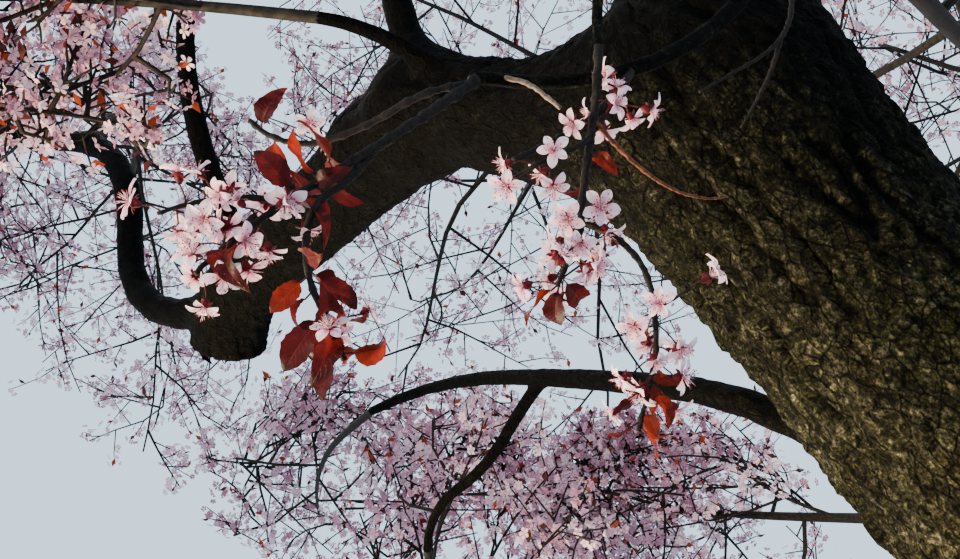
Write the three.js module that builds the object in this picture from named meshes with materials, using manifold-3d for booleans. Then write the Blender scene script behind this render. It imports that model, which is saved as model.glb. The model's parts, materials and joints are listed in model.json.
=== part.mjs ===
// A mature red-leaved cherry tree in blossom: a leaning trunk on a flared foot, a forked crown of
// tapering boughs, one of them sawn off, and masses of flowering twigs. Millimetres, +Z up, and
// the origin at the middle of the flat cut at ground level. Angles are in degrees: a heading is
// measured from +X towards +Y, and a rise is measured above the horizontal.
import * as THREE from "three";
import { mergeVertices } from "three/addons/utils/BufferGeometryUtils.js";
import Module from "manifold-3d";

const wasm = await Module();
wasm.setup();

// Driving dimensions
const CLEARANCE = 0.3; // between two solids that meet
const FOOT_DEPTH = 260; // how far the trunk's tube runs below the cut before it is trimmed
const ROOT_LOBES = 5;
const ROOT_FLARE = 0.6; // extra radius at the ground, as a share of the trunk's radius
const ROOT_FLARE_HEIGHT = 210;
const ROOT_LOBE_SHARE = 0.3; // how strongly the flare swells at each root
const ROOT_LOBE_TURN = 1; // in radians, times the number of roots
const FORK_TAPER = 90; // the length over which the trunk rounds off at its fork
const FORK_SHARE = 0.9; // the radius at its very end, as a share
const COLLAR = 0.35; // extra radius where a bough leaves its parent's side, as a share
const COLLAR_REACH = 1.3; // the collar's length, in radii of the bough's foot
const SUNK_START = 0.7; // how far a limb starts behind its parent's tip, in radii of its foot

// Each limb starts on its parent's centre line, at a share of the parent's length. Headings and
// rises are spread evenly along the limb, and the limb turns evenly from one to the next.
const TRUNK = {
  name: "trunk", length: 2790, heading: [178, 187, 188, 186, 188], rise: [82, 73, 61, 52.5, 58],
  foot: 200, tip: 156, sides: 16, steps: 15,
};
const LIMBS = [
  { name: "leader", from: "trunk", at: 1, length: 1350, heading: [20, 60, 110], rise: [86, 82, 84],
    foot: 132, tip: 58, sides: 10, steps: 6 },
  { name: "arched_bough_inner", from: "trunk", at: 1, length: 522, heading: [166, 151, 132, 130],
    rise: [19, 12, 37, 5], foot: 84, tip: 74, sides: 10, steps: 5 },
  { name: "arched_bough_sawn_end", from: "arched_bough_inner", at: 1, length: 633,
    heading: [126, 128, 137, 101], rise: [5, -7, -12, -40], foot: 74, tip: 66, sides: 10, steps: 5 },
  { name: "left_bough", from: "arched_bough_sawn_end", at: 0.83, length: 1816,
    heading: [146, 139, 143, 159, 158], rise: [-18, 83, 20, 30, 16], foot: 28, tip: 19, sides: 7, steps: 8 },
  { name: "back_left_bough", from: "left_bough", at: 0.45, length: 700, heading: [104, 98], rise: [46, 32],
    foot: 21, tip: 15, sides: 6, steps: 4 },
  { name: "left_upright", from: "arched_bough_sawn_end", at: 0.75, length: 1100,
    heading: [221, 180, 106], rise: [54, 89, 60], foot: 20, tip: 14, sides: 7, steps: 5 },
  { name: "bend_upright", from: "arched_bough_inner", at: 0.92, length: 1000,
    heading: [176, 140, 100], rise: [69, 86, 56], foot: 26, tip: 17, sides: 7, steps: 5 },
  { name: "near_left_shoot", from: "arched_bough_inner", at: 0.75, length: 260, heading: [210, 186],
    rise: [46, 6], foot: 14, tip: 9, sides: 6, steps: 3 },
  { name: "lower_bough", from: "trunk", at: 0.5, length: 2573, heading: [105, 126, 163, 127, 128, 130],
    rise: [62, 50, 50, 23, 18, -1], foot: 42, tip: 10, sides: 7, steps: 11 },
  { name: "right_back_bough", from: "leader", at: 0.14, length: 1000, heading: [34, 52, 60],
    rise: [48, 36, 18], foot: 58, tip: 24, sides: 7, steps: 5 },
  { name: "back_bough", from: "leader", at: 0.24, length: 1350, heading: [70, 88, 96],
    rise: [55, 38, 12], foot: 62, tip: 23, sides: 7, steps: 6 },
  { name: "near_bough", from: "leader", at: 0.3, length: 1100, heading: [-91, -99, -109, -155, -148],
    rise: [21, -54, -83, -48, -13], foot: 15, tip: 5, sides: 6, steps: 10 },
  { name: "near_shoot", from: "near_bough", at: 0.46, length: 488, heading: [-125, -139, -154],
    rise: [-77, -25, -94], foot: 7, tip: 4, sides: 6, steps: 7 },
  { name: "right_front_bough", from: "leader", at: 0.42, length: 1050, heading: [-56, -44, -36],
    rise: [48, 36, 20], foot: 60, tip: 24, sides: 7, steps: 6 },
  { name: "left_front_bough", from: "leader", at: 0.52, length: 1100, heading: [205, 206, 198],
    rise: [50, 36, 14], foot: 54, tip: 22, sides: 7, steps: 6 },
  { name: "front_bough", from: "leader", at: 0.64, length: 900, heading: [-70, -104, -108],
    rise: [50, 40, 24], foot: 50, tip: 22, sides: 7, steps: 5 },
  { name: "right_top_bough", from: "leader", at: 0.78, length: 750, heading: [-30, -10, 5],
    rise: [48, 42, 52], foot: 44, tip: 22, sides: 7, steps: 4 },
  { name: "right_bough", from: "trunk", at: 0.6, length: 1500, heading: [20, 8, 16],
    rise: [62, 44, 28], foot: 72, tip: 26, sides: 7, steps: 6 },
  { name: "low_branch", from: "lower_bough", at: 0.755, length: 460, heading: [131, 131, 150, 95],
    rise: [-34, -43, -25, -58], foot: 14, tip: 9, sides: 6, steps: 5 },
  { name: "low_back_bough", from: "trunk", at: 0.5, length: 2100, heading: [80, 92, 104],
    rise: [58, 34, 14], foot: 34, tip: 14, sides: 7, steps: 7 },
];

// Each mass of twigs fills the part of an ellipsoid that is nearer to it than to any other. Its
// axis leaves the tip of its limb, and its half sizes are along the axis, across and upwards.
const MASSES = [
  { name: "crown_top", limb: "leader", heading: 120, rise: 84, halves: [1400, 1700, 1700] },
  { name: "crown_back", limb: "back_bough", heading: 96, rise: 20, halves: [1450, 1700, 1500] },
  { name: "crown_back_low", limb: "lower_bough", heading: 92, rise: 6, halves: [800, 700, 550] },
  { name: "crown_back_left", limb: "back_left_bough", heading: 112, rise: 12, halves: [1050, 1200, 1150] },
  { name: "crown_left_back", limb: "left_bough", heading: 154, rise: 14, halves: [1150, 1700, 1200] },
  { name: "crown_left_top", limb: "left_upright", heading: 168, rise: 52, halves: [1400, 1700, 1500] },
  { name: "crown_back_top", limb: "bend_upright", heading: 104, rise: 62, halves: [1350, 1600, 1400] },
  { name: "crown_near_left", limb: "near_left_shoot", heading: 176, rise: 4, halves: [420, 340, 260] },
  { name: "crown_right_back", limb: "right_back_bough", heading: 50, rise: 20, halves: [1500, 1800, 1400] },
  { name: "crown_right", limb: "right_bough", heading: 6, rise: 24, halves: [1400, 1900, 1400] },
  { name: "crown_right_front", limb: "right_front_bough", heading: -46, rise: 20,
    halves: [1500, 1900, 1450] },
  { name: "crown_right_top", limb: "right_top_bough", heading: 2, rise: 50, halves: [1350, 1700, 1500] },
  { name: "crown_front", limb: "front_bough", heading: -102, rise: 24, halves: [1500, 1900, 1450] },
  { name: "crown_left_front", limb: "left_front_bough", heading: 208, rise: 18, halves: [1550, 1950, 1450] },
  { name: "crown_low_middle", limb: "low_branch", heading: 76, rise: 32, halves: [750, 750, 520] },
  { name: "crown_low_right", limb: "low_back_bough", heading: 140, rise: 14, halves: [850, 800, 520] },
];
const CENTRE_SHARE = 0.94; // from the limb's tip to the space's centre, in its half length

// The growth rule: a stem from the limb's tip, twigs round the stem, and side twigs along each
// twig. Of the full rule's twigs and side twigs, one in so many is solid here.
const STEM = { reach: 1.6, steps: 4, bend: 0.45, tip: 0.36 }; // in half lengths and limb's tips
const TWIG = {
  count: 14, fewest: 8, fullAt: 1100, // a space with a shorter half length has fewer twigs
  taken: 2, steps: 6, from: 0.08, to: 0.94, shift: 0.6, // shares of the stem
  angle: 76, angleAtTip: 34, angleSpread: 16,
  reach: 1.35, reachAtTip: 0.9, reachSpread: 0.3, // in half lengths
  foot: 0.5, footAtTip: 0.34, tip: 4, // the foot's radius in the limb's tip's, the tip's in mm
};
const SIDE_TWIG = {
  count: 8, taken: 3, steps: 3, from: 0.14, to: 0.98,
  angle: 46, angleSpread: 24, turnSpread: 90,
  reach: 0.52, reachAtTip: 0.32, reachSpread: 0.5,
};
const GOLDEN_ANGLE = 137.5;
const SWAY = 0.45; // how much a twig turns at each step
const LIFT = 0.14; // how much of that is upwards
const TURN_BACK = 1; // how strongly a twig turns inwards where it would leave its space
const TWIG_CLEARANCE = 75; // between a growing twig and any limb or another mass's space
const RUN_TEST_STEP = 60; // spacing of the points tested along a twig
const SEED = 20260;

// A spindle of blossom stands for a side twig that is clothed with flowers, and a twig's own
// outer half swells into one.
const SPINDLE_WIDTH = 0.32; // its width, as a share of its length
const SPINDLE_WIDEST = 0.24; // where it is widest, from its middle at 0 to its tip at 1
const TWIG_WIDEST = 0.75; // where a twig's own blossom is widest, as a share of its length
const TWIG_BLOSSOM = 0.085; // its greatest radius there, as a share of its length
const TWIG_POINT = 1;

// The near sprays hang low in front of the leader. Their twigs are sized one by one, and bear
// flowers and leaves between the given shares of their length.
const NEAR_SPRAYS = [
  { name: "near_spray_left", limb: "near_bough", twigs: [
    { length: 259, heading: [-165, -163, -176, -184], rise: [-47, -43, -39, -48], foot: 4.5, tip: 2,
      flowers: [0.52, 1], leaves: [0.46, 0.92] },
    { from: 0, at: 0.29, length: 208, heading: [-178, -165, -139, -280, -337, -306],
      rise: [-35, -60, -46, -82, -58, -58], foot: 3.2, tip: 2, flowers: [0.86, 0.97], leaves: [0.62, 1] },
    { from: 0, at: 0.04, length: 175, heading: [-163, -200, -186, -158], rise: [-14, -27, -13, 41],
      foot: 3, tip: 2 },
  ] },
  { name: "near_spray_middle", limb: "near_shoot", twigs: [
    { length: 154, heading: [92, 130, 160], rise: [-72, -75, -86], foot: 3.6, tip: 2.8,
      flowers: [0.9, 1] },
    { from: 0, at: 1, length: 49, heading: [-162, -207], rise: [-68, -68], foot: 2.4, tip: 1.8,
      flowers: [0.1, 0.8], leaves: [0.6, 1] },
    { from: 0, at: 0.96, length: 179, heading: [-20, 5, 71, 117, 149], rise: [-21, -51, -78, -64, -70],
      foot: 2.6, tip: 1.8, flowers: [0.5, 0.95], leaves: [0.72, 1] },
    { from: 0, at: 0.5, length: 79, heading: [-123, -215], rise: [-47, -17], foot: 2.2, tip: 1.6,
      flowers: [0.1, 0.2] },
    { from: 0, at: 0.48, length: 68, heading: [42, 19], rise: [54, 56], foot: 2.2, tip: 1.6,
      flowers: [0.1, 0.4] },
  ] },
];
const FLOWER = { spacing: 26, reach: 34, width: 25, thickness: 25 }; // its reach has the stalk in it
const LEAF = { spacing: 30, reach: 44, width: 20, thickness: 2 };
const BLOOM_ANGLE = { least: 50, spread: 30, turnSpread: 120 };
const BLOOM_REACH = { least: 0.85, spread: 0.3 }; // a share of the kind's reach

const ROUTE_STEPS = 24; // equal steps of each limb's centre line
const WELD = 1e-3; // vertices nearer than this are one

// Turns a list of whole numbers into a number from 0 to 1, always the same for the same list.
function drawn(...keys) {
  let h = SEED >>> 0;
  for (const key of keys) {
    h = Math.imul(h ^ key, 0x9e3779b1) >>> 0;
    h = (h ^ (h >>> 15)) >>> 0;
    h = Math.imul(h, 0x85ebca6b) >>> 0;
    h = (h ^ (h >>> 13)) >>> 0;
  }
  return h / 2 ** 32;
}

const radians = THREE.MathUtils.degToRad;
const { lerp } = THREE.MathUtils;

function directionOf(heading, rise) {
  const flat = Math.cos(radians(rise));
  return new THREE.Vector3(
    flat * Math.cos(radians(heading)), flat * Math.sin(radians(heading)), Math.sin(radians(rise)));
}

// The value at share t of a list that is spread evenly along a limb.
function turned(values, t) {
  const x = t * (values.length - 1);
  const i = Math.min(Math.floor(x), values.length - 2);
  return lerp(values[i], values[i + 1], x - i);
}

// The centre line of a limb, as ROUTE_STEPS equal steps from its start.
function routeOf(limb, start) {
  const points = [start.clone()];
  for (let k = 0; k < ROUTE_STEPS; k++) {
    const t = (k + 0.5) / ROUTE_STEPS;
    const step = directionOf(turned(limb.heading, t), turned(limb.rise, t));
    points.push(points[k].clone().addScaledVector(step, limb.length / ROUTE_STEPS));
  }
  return points;
}

// A point at share t of a route, which has equal steps.
function pointAt(points, t) {
  const x = THREE.MathUtils.clamp(t, 0, 1) * (points.length - 1);
  const i = Math.min(Math.floor(x), points.length - 2);
  return points[i].clone().lerp(points[i + 1], x - i);
}

function headingAt(points, t) {
  const i = Math.min(Math.floor(t * (points.length - 1)), points.length - 2);
  return points[i + 1].clone().sub(points[i]).normalize();
}

// Where every tube's first side faces, before it is turned square to the tube.
const FIRST_SIDE = new THREE.Vector3(0.12, 1, 0.05);

// A closed tube round a route: a cylinder bent along it. radiusAt gives the radius at a share
// of the length and an angle, and extra pushes the side and both ends out.
function tube(points, sides, steps, radiusAt, extra = 0) {
  const geometry = new THREE.CylinderGeometry(1, 1, 1, sides, steps);
  const centres = [];
  const acrosses = [];
  const alongs = [];
  for (let k = 0; k <= steps; k++) {
    const along = headingAt(points, Math.min(k / steps, 0.999));
    const before = k ? acrosses[k - 1] : FIRST_SIDE;
    acrosses.push(before.clone().addScaledVector(along, -before.dot(along)).normalize());
    alongs.push(along);
    centres.push(pointAt(points, k / steps));
  }
  centres[0].addScaledVector(alongs[0], -extra);
  centres[steps].addScaledVector(alongs[steps], extra);
  const position = geometry.getAttribute("position");
  for (let i = 0; i < position.count; i++) {
    const [x, y, z] = [position.getX(i), position.getY(i), position.getZ(i)];
    const k = Math.round((y + 0.5) * steps);
    const size = Math.hypot(x, z) * (radiusAt(k / steps, Math.atan2(x, z)) + extra);
    const angle = Math.atan2(x, z);
    const side = acrosses[k];
    const other = side.clone().cross(alongs[k]);
    const at = centres[k].clone()
      .addScaledVector(side, size * Math.sin(angle))
      .addScaledVector(other, size * Math.cos(angle));
    position.setXYZ(i, at.x, at.y, at.z);
  }
  return geometry;
}

// A solid from a closed geometry.
function solidOf(geometry) {
  geometry.deleteAttribute("normal");
  geometry.deleteAttribute("uv");
  const merged = mergeVertices(geometry, WELD);
  return new wasm.Manifold(new wasm.Mesh({
    numProp: 3,
    vertProperties: new Float32Array(merged.attributes.position.array),
    triVerts: new Uint32Array(merged.index.array),
  }));
}

function geometryOf(solid) {
  const mesh = solid.getMesh();
  const position = new Float32Array(mesh.numVert * 3);
  for (let i = 0; i < mesh.numVert; i++) {
    position.set(mesh.vertProperties.subarray(i * mesh.numProp, i * mesh.numProp + 3), i * 3);
  }
  const geometry = new THREE.BufferGeometry();
  geometry.setAttribute("position", new THREE.BufferAttribute(position, 3));
  geometry.setIndex(new THREE.BufferAttribute(mesh.triVerts, 1));
  return geometry;
}

// The largest single body of a solid, so that a loose scrap is dropped.
function largestBody(solid) {
  const bodies = solid.decompose();
  return bodies.reduce((best, body) => (body.volume() > best.volume() ? body : best));
}

function plainRadius(limb, t) {
  return lerp(limb.foot, limb.tip, t);
}

// A limb that leaves its parent's side swells into a collar there.
function collarRadius(limb, t) {
  const collar = COLLAR * limb.foot * Math.exp(-(t * limb.length) / (COLLAR_REACH * limb.foot));
  return plainRadius(limb, t) + (limb.at < 1 ? collar : 0);
}

const limbs = new Map();

// The trunk runs on below the ground and is trimmed there, so that its foot is a flat cut.
function trunkSolid(extra) {
  const start = directionOf(TRUNK.heading[0], TRUNK.rise[0]).multiplyScalar(-FOOT_DEPTH);
  const length = TRUNK.length + FOOT_DEPTH;
  const radiusAt = (t, angle) => {
    const height = Math.max(t * length - FOOT_DEPTH, 0);
    const flare = ROOT_FLARE * Math.exp(-height / ROOT_FLARE_HEIGHT);
    const lobes = 1 + ROOT_LOBE_SHARE * Math.cos(ROOT_LOBES * angle + ROOT_LOBE_TURN);
    const rounded = height > TRUNK.length - FORK_TAPER ? FORK_SHARE : 1;
    return plainRadius(TRUNK, height / TRUNK.length) * rounded * (1 + flare * lobes);
  };
  const route = resampled([start, ...TRUNK.route.slice(1)], ROUTE_STEPS);
  const ground = new THREE.BoxGeometry(2000, 2000, 1000).translate(0, 0, -500);
  return solidOf(tube(route, TRUNK.sides, TRUNK.steps, radiusAt, extra)).subtract(solidOf(ground));
}

// The same line with equal steps.
function resampled(points, steps) {
  const line = new THREE.CurvePath();
  points.slice(1).forEach((point, i) => line.add(new THREE.LineCurve3(points[i], point)));
  return line.getSpacedPoints(steps);
}

function limbSolid(limb, extra = 0) {
  if (limb === TRUNK) return trunkSolid(extra);
  const radiusAt = (t) => collarRadius(limb, t);
  const sunk = limb.at < 1 ? 0 : limb.foot * SUNK_START;
  const start = limb.route[0].clone().addScaledVector(headingAt(limb.route, 0), -sunk);
  const route = sunk ? resampled([start, ...limb.route.slice(1)], ROUTE_STEPS) : limb.route;
  return solidOf(tube(route, limb.sides, limb.steps, radiusAt, extra));
}

// Cuts a solid clear of every limb made so far.
function clearOf(solid, names) {
  return names.reduce((left, name) => left.subtract(limbSolid(limbs.get(name), CLEARANCE)), solid);
}

const tree = new THREE.Group();

function addMesh(name, solid, material) {
  const mesh = new THREE.Mesh(geometryOf(largestBody(solid)), material);
  mesh.name = name;
  tree.add(mesh);
}

const bark = new THREE.MeshStandardMaterial({ color: 0x4a3d30, roughness: 0.92, metalness: 0 });
const blossom = new THREE.MeshStandardMaterial({ color: 0xe3b7c4, roughness: 0.7, metalness: 0 });

function buildLimbs() {
  TRUNK.route = routeOf(TRUNK, new THREE.Vector3());
  limbs.set(TRUNK.name, TRUNK);
  addMesh(TRUNK.name, limbSolid(TRUNK), bark);
  for (const limb of LIMBS) {
    limb.route = routeOf(limb, pointAt(limbs.get(limb.from).route, limb.at));
    addMesh(limb.name, clearOf(limbSolid(limb), [...limbs.keys()]), bark);
    limbs.set(limb.name, limb);
  }
}

// The three half axes of a mass, as unit vectors: along, across and upwards.
function axesOf(mass) {
  const along = directionOf(mass.heading, mass.rise);
  const across = directionOf(mass.heading + 90, 0);
  return [along, across, along.clone().cross(across)];
}

function prepareMass(mass) {
  mass.axes = axesOf(mass);
  mass.along = mass.halves[0];
  mass.least = Math.min(...mass.halves);
  mass.start = limbs.get(mass.limb).route[ROUTE_STEPS].clone();
  mass.centre = mass.start.clone().addScaledVector(mass.axes[0], mass.along * CENTRE_SHARE);
}

// How far a point is from a mass's centre, where 1 is its ellipsoid's surface.
function shareFrom(mass, point) {
  const offset = point.clone().sub(mass.centre);
  return Math.hypot(...mass.axes.map((axis, i) => axis.dot(offset) / mass.halves[i]));
}

// Whether a mass's own space holds a point, with some clearance all round.
function holds(mass, point, clearance) {
  const own = shareFrom(mass, point);
  if (own + clearance / mass.least > 1) return false;
  return MASSES.every((other) => {
    const needed = clearance * (1 / mass.least + 1 / other.least);
    return other === mass || shareFrom(other, point) - own > needed;
  });
}

function clearOfLimbs(point, clearance) {
  const nearest = new THREE.Vector3();
  for (const limb of limbs.values()) {
    for (let k = 0; k < ROUTE_STEPS; k++) {
      const piece = new THREE.Line3(limb.route[k], limb.route[k + 1]);
      piece.closestPointToPoint(point, true, nearest);
      if (nearest.distanceTo(point) < plainRadius(limb, k / ROUTE_STEPS) + clearance) return false;
    }
  }
  return true;
}

function runIsFree(mass, a, b, clearance) {
  const count = Math.ceil(a.distanceTo(b) / RUN_TEST_STEP);
  for (let k = 1; k <= count; k++) {
    const point = a.clone().lerp(b, k / count);
    if (!holds(mass, point, clearance) || !clearOfLimbs(point, clearance)) return false;
  }
  return true;
}

// A twig grows step by step, swaying and drawn upwards. Where it would leave its space or touch
// a limb it turns once towards the middle of its space, and stops if that is no better.
function grownTwig(mass, start, direction, length, steps, keys) {
  const points = [start];
  const heading = direction.clone();
  for (let k = 0; k < steps; k++) {
    const sway = new THREE.Vector3(
      drawn(...keys, k, 1) - 0.5, drawn(...keys, k, 2) - 0.5, drawn(...keys, k, 3) - 0.5 + LIFT);
    heading.addScaledVector(sway, SWAY).normalize();
    const next = points[k].clone().addScaledVector(heading, length / steps);
    if (!runIsFree(mass, points[k], next, TWIG_CLEARANCE)) {
      const inward = mass.centre.clone().sub(points[k]).normalize();
      heading.addScaledVector(inward, TURN_BACK).normalize();
      next.copy(points[k]).addScaledVector(heading, length / steps);
      if (!runIsFree(mass, points[k], next, TWIG_CLEARANCE)) break;
    }
    points.push(next);
  }
  return points;
}

const STEEP = 0.9; // the upward share past which a line's turns are counted from +X, not +Z

// A unit vector at an angle from a line and turned round it.
function branchDirection(along, angle, turn) {
  const steep = Math.abs(along.z) > STEEP;
  const reference = new THREE.Vector3(steep ? 1 : 0, 0, steep ? 0 : 1);
  const side = along.clone().cross(reference).normalize();
  const other = side.clone().cross(along);
  const out = Math.sin(radians(angle));
  return along.clone().multiplyScalar(Math.cos(radians(angle)))
    .addScaledVector(side, out * Math.cos(radians(turn)))
    .addScaledVector(other, out * Math.sin(radians(turn)));
}

// The stem leaves the limb's tip in the limb's own direction and bends to the space's axis.
function stemOf(mass, limb) {
  const direction = headingAt(limb.route, 1);
  const points = [mass.start.clone()];
  for (let k = 0; k < STEM.steps; k++) {
    direction.lerp(mass.axes[0], STEM.bend).normalize();
    points.push(points[k].clone().addScaledVector(direction, (mass.along * STEM.reach) / STEM.steps));
  }
  return points;
}

// The twigs round a mass's stem, with a radius at each end.
function twigsOf(mass, number, limb, stem) {
  const twigs = [];
  const count = Math.max(Math.round(TWIG.count * Math.min(mass.along / TWIG.fullAt, 1)), TWIG.fewest);
  for (let k = 0; k < count; k += TWIG.taken) {
    const share = lerp(TWIG.from, TWIG.to, (k + TWIG.shift * drawn(number, k, 11)) / count);
    const angle = lerp(TWIG.angle, TWIG.angleAtTip, share) + TWIG.angleSpread * (drawn(number, k, 12) - 0.5);
    const turn = GOLDEN_ANGLE * k + 360 * drawn(number, 13);
    const direction = branchDirection(headingAt(stem, share), angle, turn);
    const spread = 1 + TWIG.reachSpread * (drawn(number, k, 14) - 0.5);
    const length = mass.along * lerp(TWIG.reach, TWIG.reachAtTip, share) * spread;
    const points = grownTwig(mass, pointAt(stem, share), direction, length, TWIG.steps, [number, k, 15]);
    const foot = limb.tip * lerp(TWIG.foot, TWIG.footAtTip, share);
    if (points.length > 1) twigs.push({ points, k, foot, tip: TWIG.tip });
  }
  return twigs;
}

// The routes of the side twigs along a twig.
function sideTwigsOf(mass, number, twig) {
  const routes = [];
  for (let j = 0; j < SIDE_TWIG.count; j += SIDE_TWIG.taken) {
    const keys = [number, twig.k, 20 + j];
    const share = lerp(SIDE_TWIG.from, SIDE_TWIG.to, (j + 0.5) / SIDE_TWIG.count);
    const angle = SIDE_TWIG.angle + SIDE_TWIG.angleSpread * drawn(...keys, 1);
    const turn = GOLDEN_ANGLE * j + SIDE_TWIG.turnSpread * drawn(...keys, 2);
    const direction = branchDirection(headingAt(twig.points, share), angle, turn);
    const spread = 1 + SIDE_TWIG.reachSpread * (drawn(...keys, 3) - 0.5);
    const length = mass.along * lerp(SIDE_TWIG.reach, SIDE_TWIG.reachAtTip, share) * spread;
    const start = pointAt(twig.points, share);
    const points = grownTwig(mass, start, direction, length, SIDE_TWIG.steps, [...keys, 4]);
    if (points.length > 1) routes.push(points);
  }
  return routes;
}

// A bare twig or stem that starts at its parent's middle.
function twigSolid(twig, sides, steps) {
  return solidOf(tube(twig.points, sides, steps, (t) => lerp(twig.foot, twig.tip, t)));
}

// A three-sided twig whose outer half swells into a spindle of blossom.
function clothedTwigSolid(twig) {
  const length = twig.points[0].distanceTo(twig.points[twig.points.length - 1]);
  const radiusAt = (t) => {
    if (t === TWIG_WIDEST) return length * TWIG_BLOSSOM;
    return t === 1 ? TWIG_POINT : lerp(twig.foot, twig.tip, t);
  };
  return solidOf(tube(twig.points, 3, 4, radiusAt));
}

// Eight faces between two points, as wide and as thick as asked, and turned to face a way.
function spindleSolid(from, to, width, thickness, facing) {
  const geometry = new THREE.OctahedronGeometry(1);
  const position = geometry.getAttribute("position");
  for (let i = 0; i < position.count; i++) {
    if (Math.abs(position.getY(i)) < 0.5) position.setY(i, SPINDLE_WIDEST);
  }
  const along = to.clone().sub(from);
  const y = along.clone().normalize();
  const z = facing.clone().addScaledVector(y, -facing.dot(y)).normalize();
  const basis = new THREE.Matrix4().makeBasis(y.clone().cross(z), y, z);
  geometry.scale(width / 2, along.length() / 2, thickness / 2).applyMatrix4(basis);
  const middle = from.clone().lerp(to, 0.5);
  return solidOf(geometry.translate(middle.x, middle.y, middle.z));
}

const UP = new THREE.Vector3(0.1, 0.05, 1);

function blossomSpindle(points) {
  const end = points[points.length - 1];
  const width = points[0].distanceTo(end) * SPINDLE_WIDTH;
  return spindleSolid(points[0], end, width, width, UP);
}

function addSpray(name, solids) {
  addMesh(name, clearOf(wasm.Manifold.union(solids), [...limbs.keys()]), blossom);
}

function buildMasses() {
  MASSES.forEach(prepareMass);
  MASSES.forEach((mass, number) => {
    const limb = limbs.get(mass.limb);
    const stem = stemOf(mass, limb);
    const solids = [twigSolid({ points: stem, foot: limb.tip, tip: limb.tip * STEM.tip }, 6, STEM.steps)];
    for (const twig of twigsOf(mass, number, limb, stem)) {
      solids.push(clothedTwigSolid(twig), ...sideTwigsOf(mass, number, twig).map(blossomSpindle));
    }
    addSpray(mass.name, solids);
  });
}

// Evenly spaced shares between two shares of a twig.
function sharesOf([from, to], length, spacing) {
  const count = Math.max(Math.round(((to - from) * length) / spacing), 1);
  return Array.from({ length: count }, (_, k) => lerp(from, to, (k + 0.5) / count));
}

// The flowers or the leaves of a near twig, each rooted at the twig's middle.
function bloomSolids(twig, shares, kind, keys) {
  return sharesOf(shares, twig.length, kind.spacing).map((share, k) => {
    const angle = BLOOM_ANGLE.least + BLOOM_ANGLE.spread * drawn(...keys, k, 1);
    const turn = GOLDEN_ANGLE * k + BLOOM_ANGLE.turnSpread * drawn(...keys, k, 2);
    const direction = branchDirection(headingAt(twig.points, share), angle, turn);
    const start = pointAt(twig.points, share);
    const reach = kind.reach * (BLOOM_REACH.least + BLOOM_REACH.spread * drawn(...keys, k, 3));
    const end = start.clone().addScaledVector(direction, reach);
    return spindleSolid(start, end, kind.width, kind.thickness, UP);
  });
}

function nearTwigSolids(twig, number, k) {
  const solids = [twigSolid(twig, k ? 4 : 6, 6)];
  if (twig.flowers) solids.push(...bloomSolids(twig, twig.flowers, FLOWER, [number, k, 1]));
  if (twig.leaves) solids.push(...bloomSolids(twig, twig.leaves, LEAF, [number, k, 2]));
  return solids;
}

function buildNearSprays() {
  NEAR_SPRAYS.forEach((spray, number) => {
    const limb = limbs.get(spray.limb);
    const solids = spray.twigs.flatMap((twig, k) => {
      const parent = k ? spray.twigs[twig.from].points : limb.route;
      twig.points = routeOf(twig, pointAt(parent, k ? twig.at : 1));
      return nearTwigSolids(twig, number, k);
    });
    addSpray(spray.name, solids);
  });
}

buildLimbs();
buildMasses();
buildNearSprays();

export default tree;
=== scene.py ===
import json
import math

import bpy
import numpy as np
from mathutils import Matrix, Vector, noise

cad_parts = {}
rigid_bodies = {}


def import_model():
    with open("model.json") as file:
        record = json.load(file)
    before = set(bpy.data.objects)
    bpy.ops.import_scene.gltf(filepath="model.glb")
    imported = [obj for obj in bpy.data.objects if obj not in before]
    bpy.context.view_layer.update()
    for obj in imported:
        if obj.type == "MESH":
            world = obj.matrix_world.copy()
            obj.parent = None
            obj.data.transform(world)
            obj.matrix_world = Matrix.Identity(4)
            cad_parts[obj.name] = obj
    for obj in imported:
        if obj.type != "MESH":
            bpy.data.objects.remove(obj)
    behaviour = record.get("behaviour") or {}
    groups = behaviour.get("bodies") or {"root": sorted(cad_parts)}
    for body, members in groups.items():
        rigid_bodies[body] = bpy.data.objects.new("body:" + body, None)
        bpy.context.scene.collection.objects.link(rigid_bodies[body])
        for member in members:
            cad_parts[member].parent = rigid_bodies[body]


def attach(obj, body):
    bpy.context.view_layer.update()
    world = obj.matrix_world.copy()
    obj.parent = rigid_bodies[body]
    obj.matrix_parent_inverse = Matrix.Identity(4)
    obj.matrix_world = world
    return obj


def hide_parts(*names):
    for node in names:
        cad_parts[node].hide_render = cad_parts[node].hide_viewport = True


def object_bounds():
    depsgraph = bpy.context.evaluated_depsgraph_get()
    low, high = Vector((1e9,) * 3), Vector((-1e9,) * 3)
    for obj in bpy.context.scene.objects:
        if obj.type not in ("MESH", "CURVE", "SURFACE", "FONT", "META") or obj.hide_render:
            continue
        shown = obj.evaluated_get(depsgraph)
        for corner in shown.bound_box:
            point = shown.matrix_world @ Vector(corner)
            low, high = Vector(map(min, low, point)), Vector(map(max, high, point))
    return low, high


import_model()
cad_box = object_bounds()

# Limbs, each from a share of its parent's centre line. Headings and rises are spread evenly along it.
TRUNK_LENGTH = 2.79
FOOT_DEPTH = 0.104  # how far below the ground the trunk's rings start, where it is cut level
ROOT_LOBES = 5
ROOT_FLARE = 0.6
ROOT_FLARE_HEIGHT = 0.21
ROOT_LOBE_SHARE = 0.3
ROOT_LOBE_TURN = 1
SUNK_START = 0.7  # how far a limb starts back inside its parent's tip, in radii of its foot
ROUTE_STEPS = 24


def limb(name, parent, at, length, heading, rise, foot, tip, sides, ring):
    """A limb's sizes. sides and ring set its mesh: points round it, and the spacing of its rings."""
    return dict(name=name, parent=parent, at=at, length=length, heading=heading, rise=rise,
                foot=foot, tip=tip, sides=sides, ring=ring)


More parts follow.
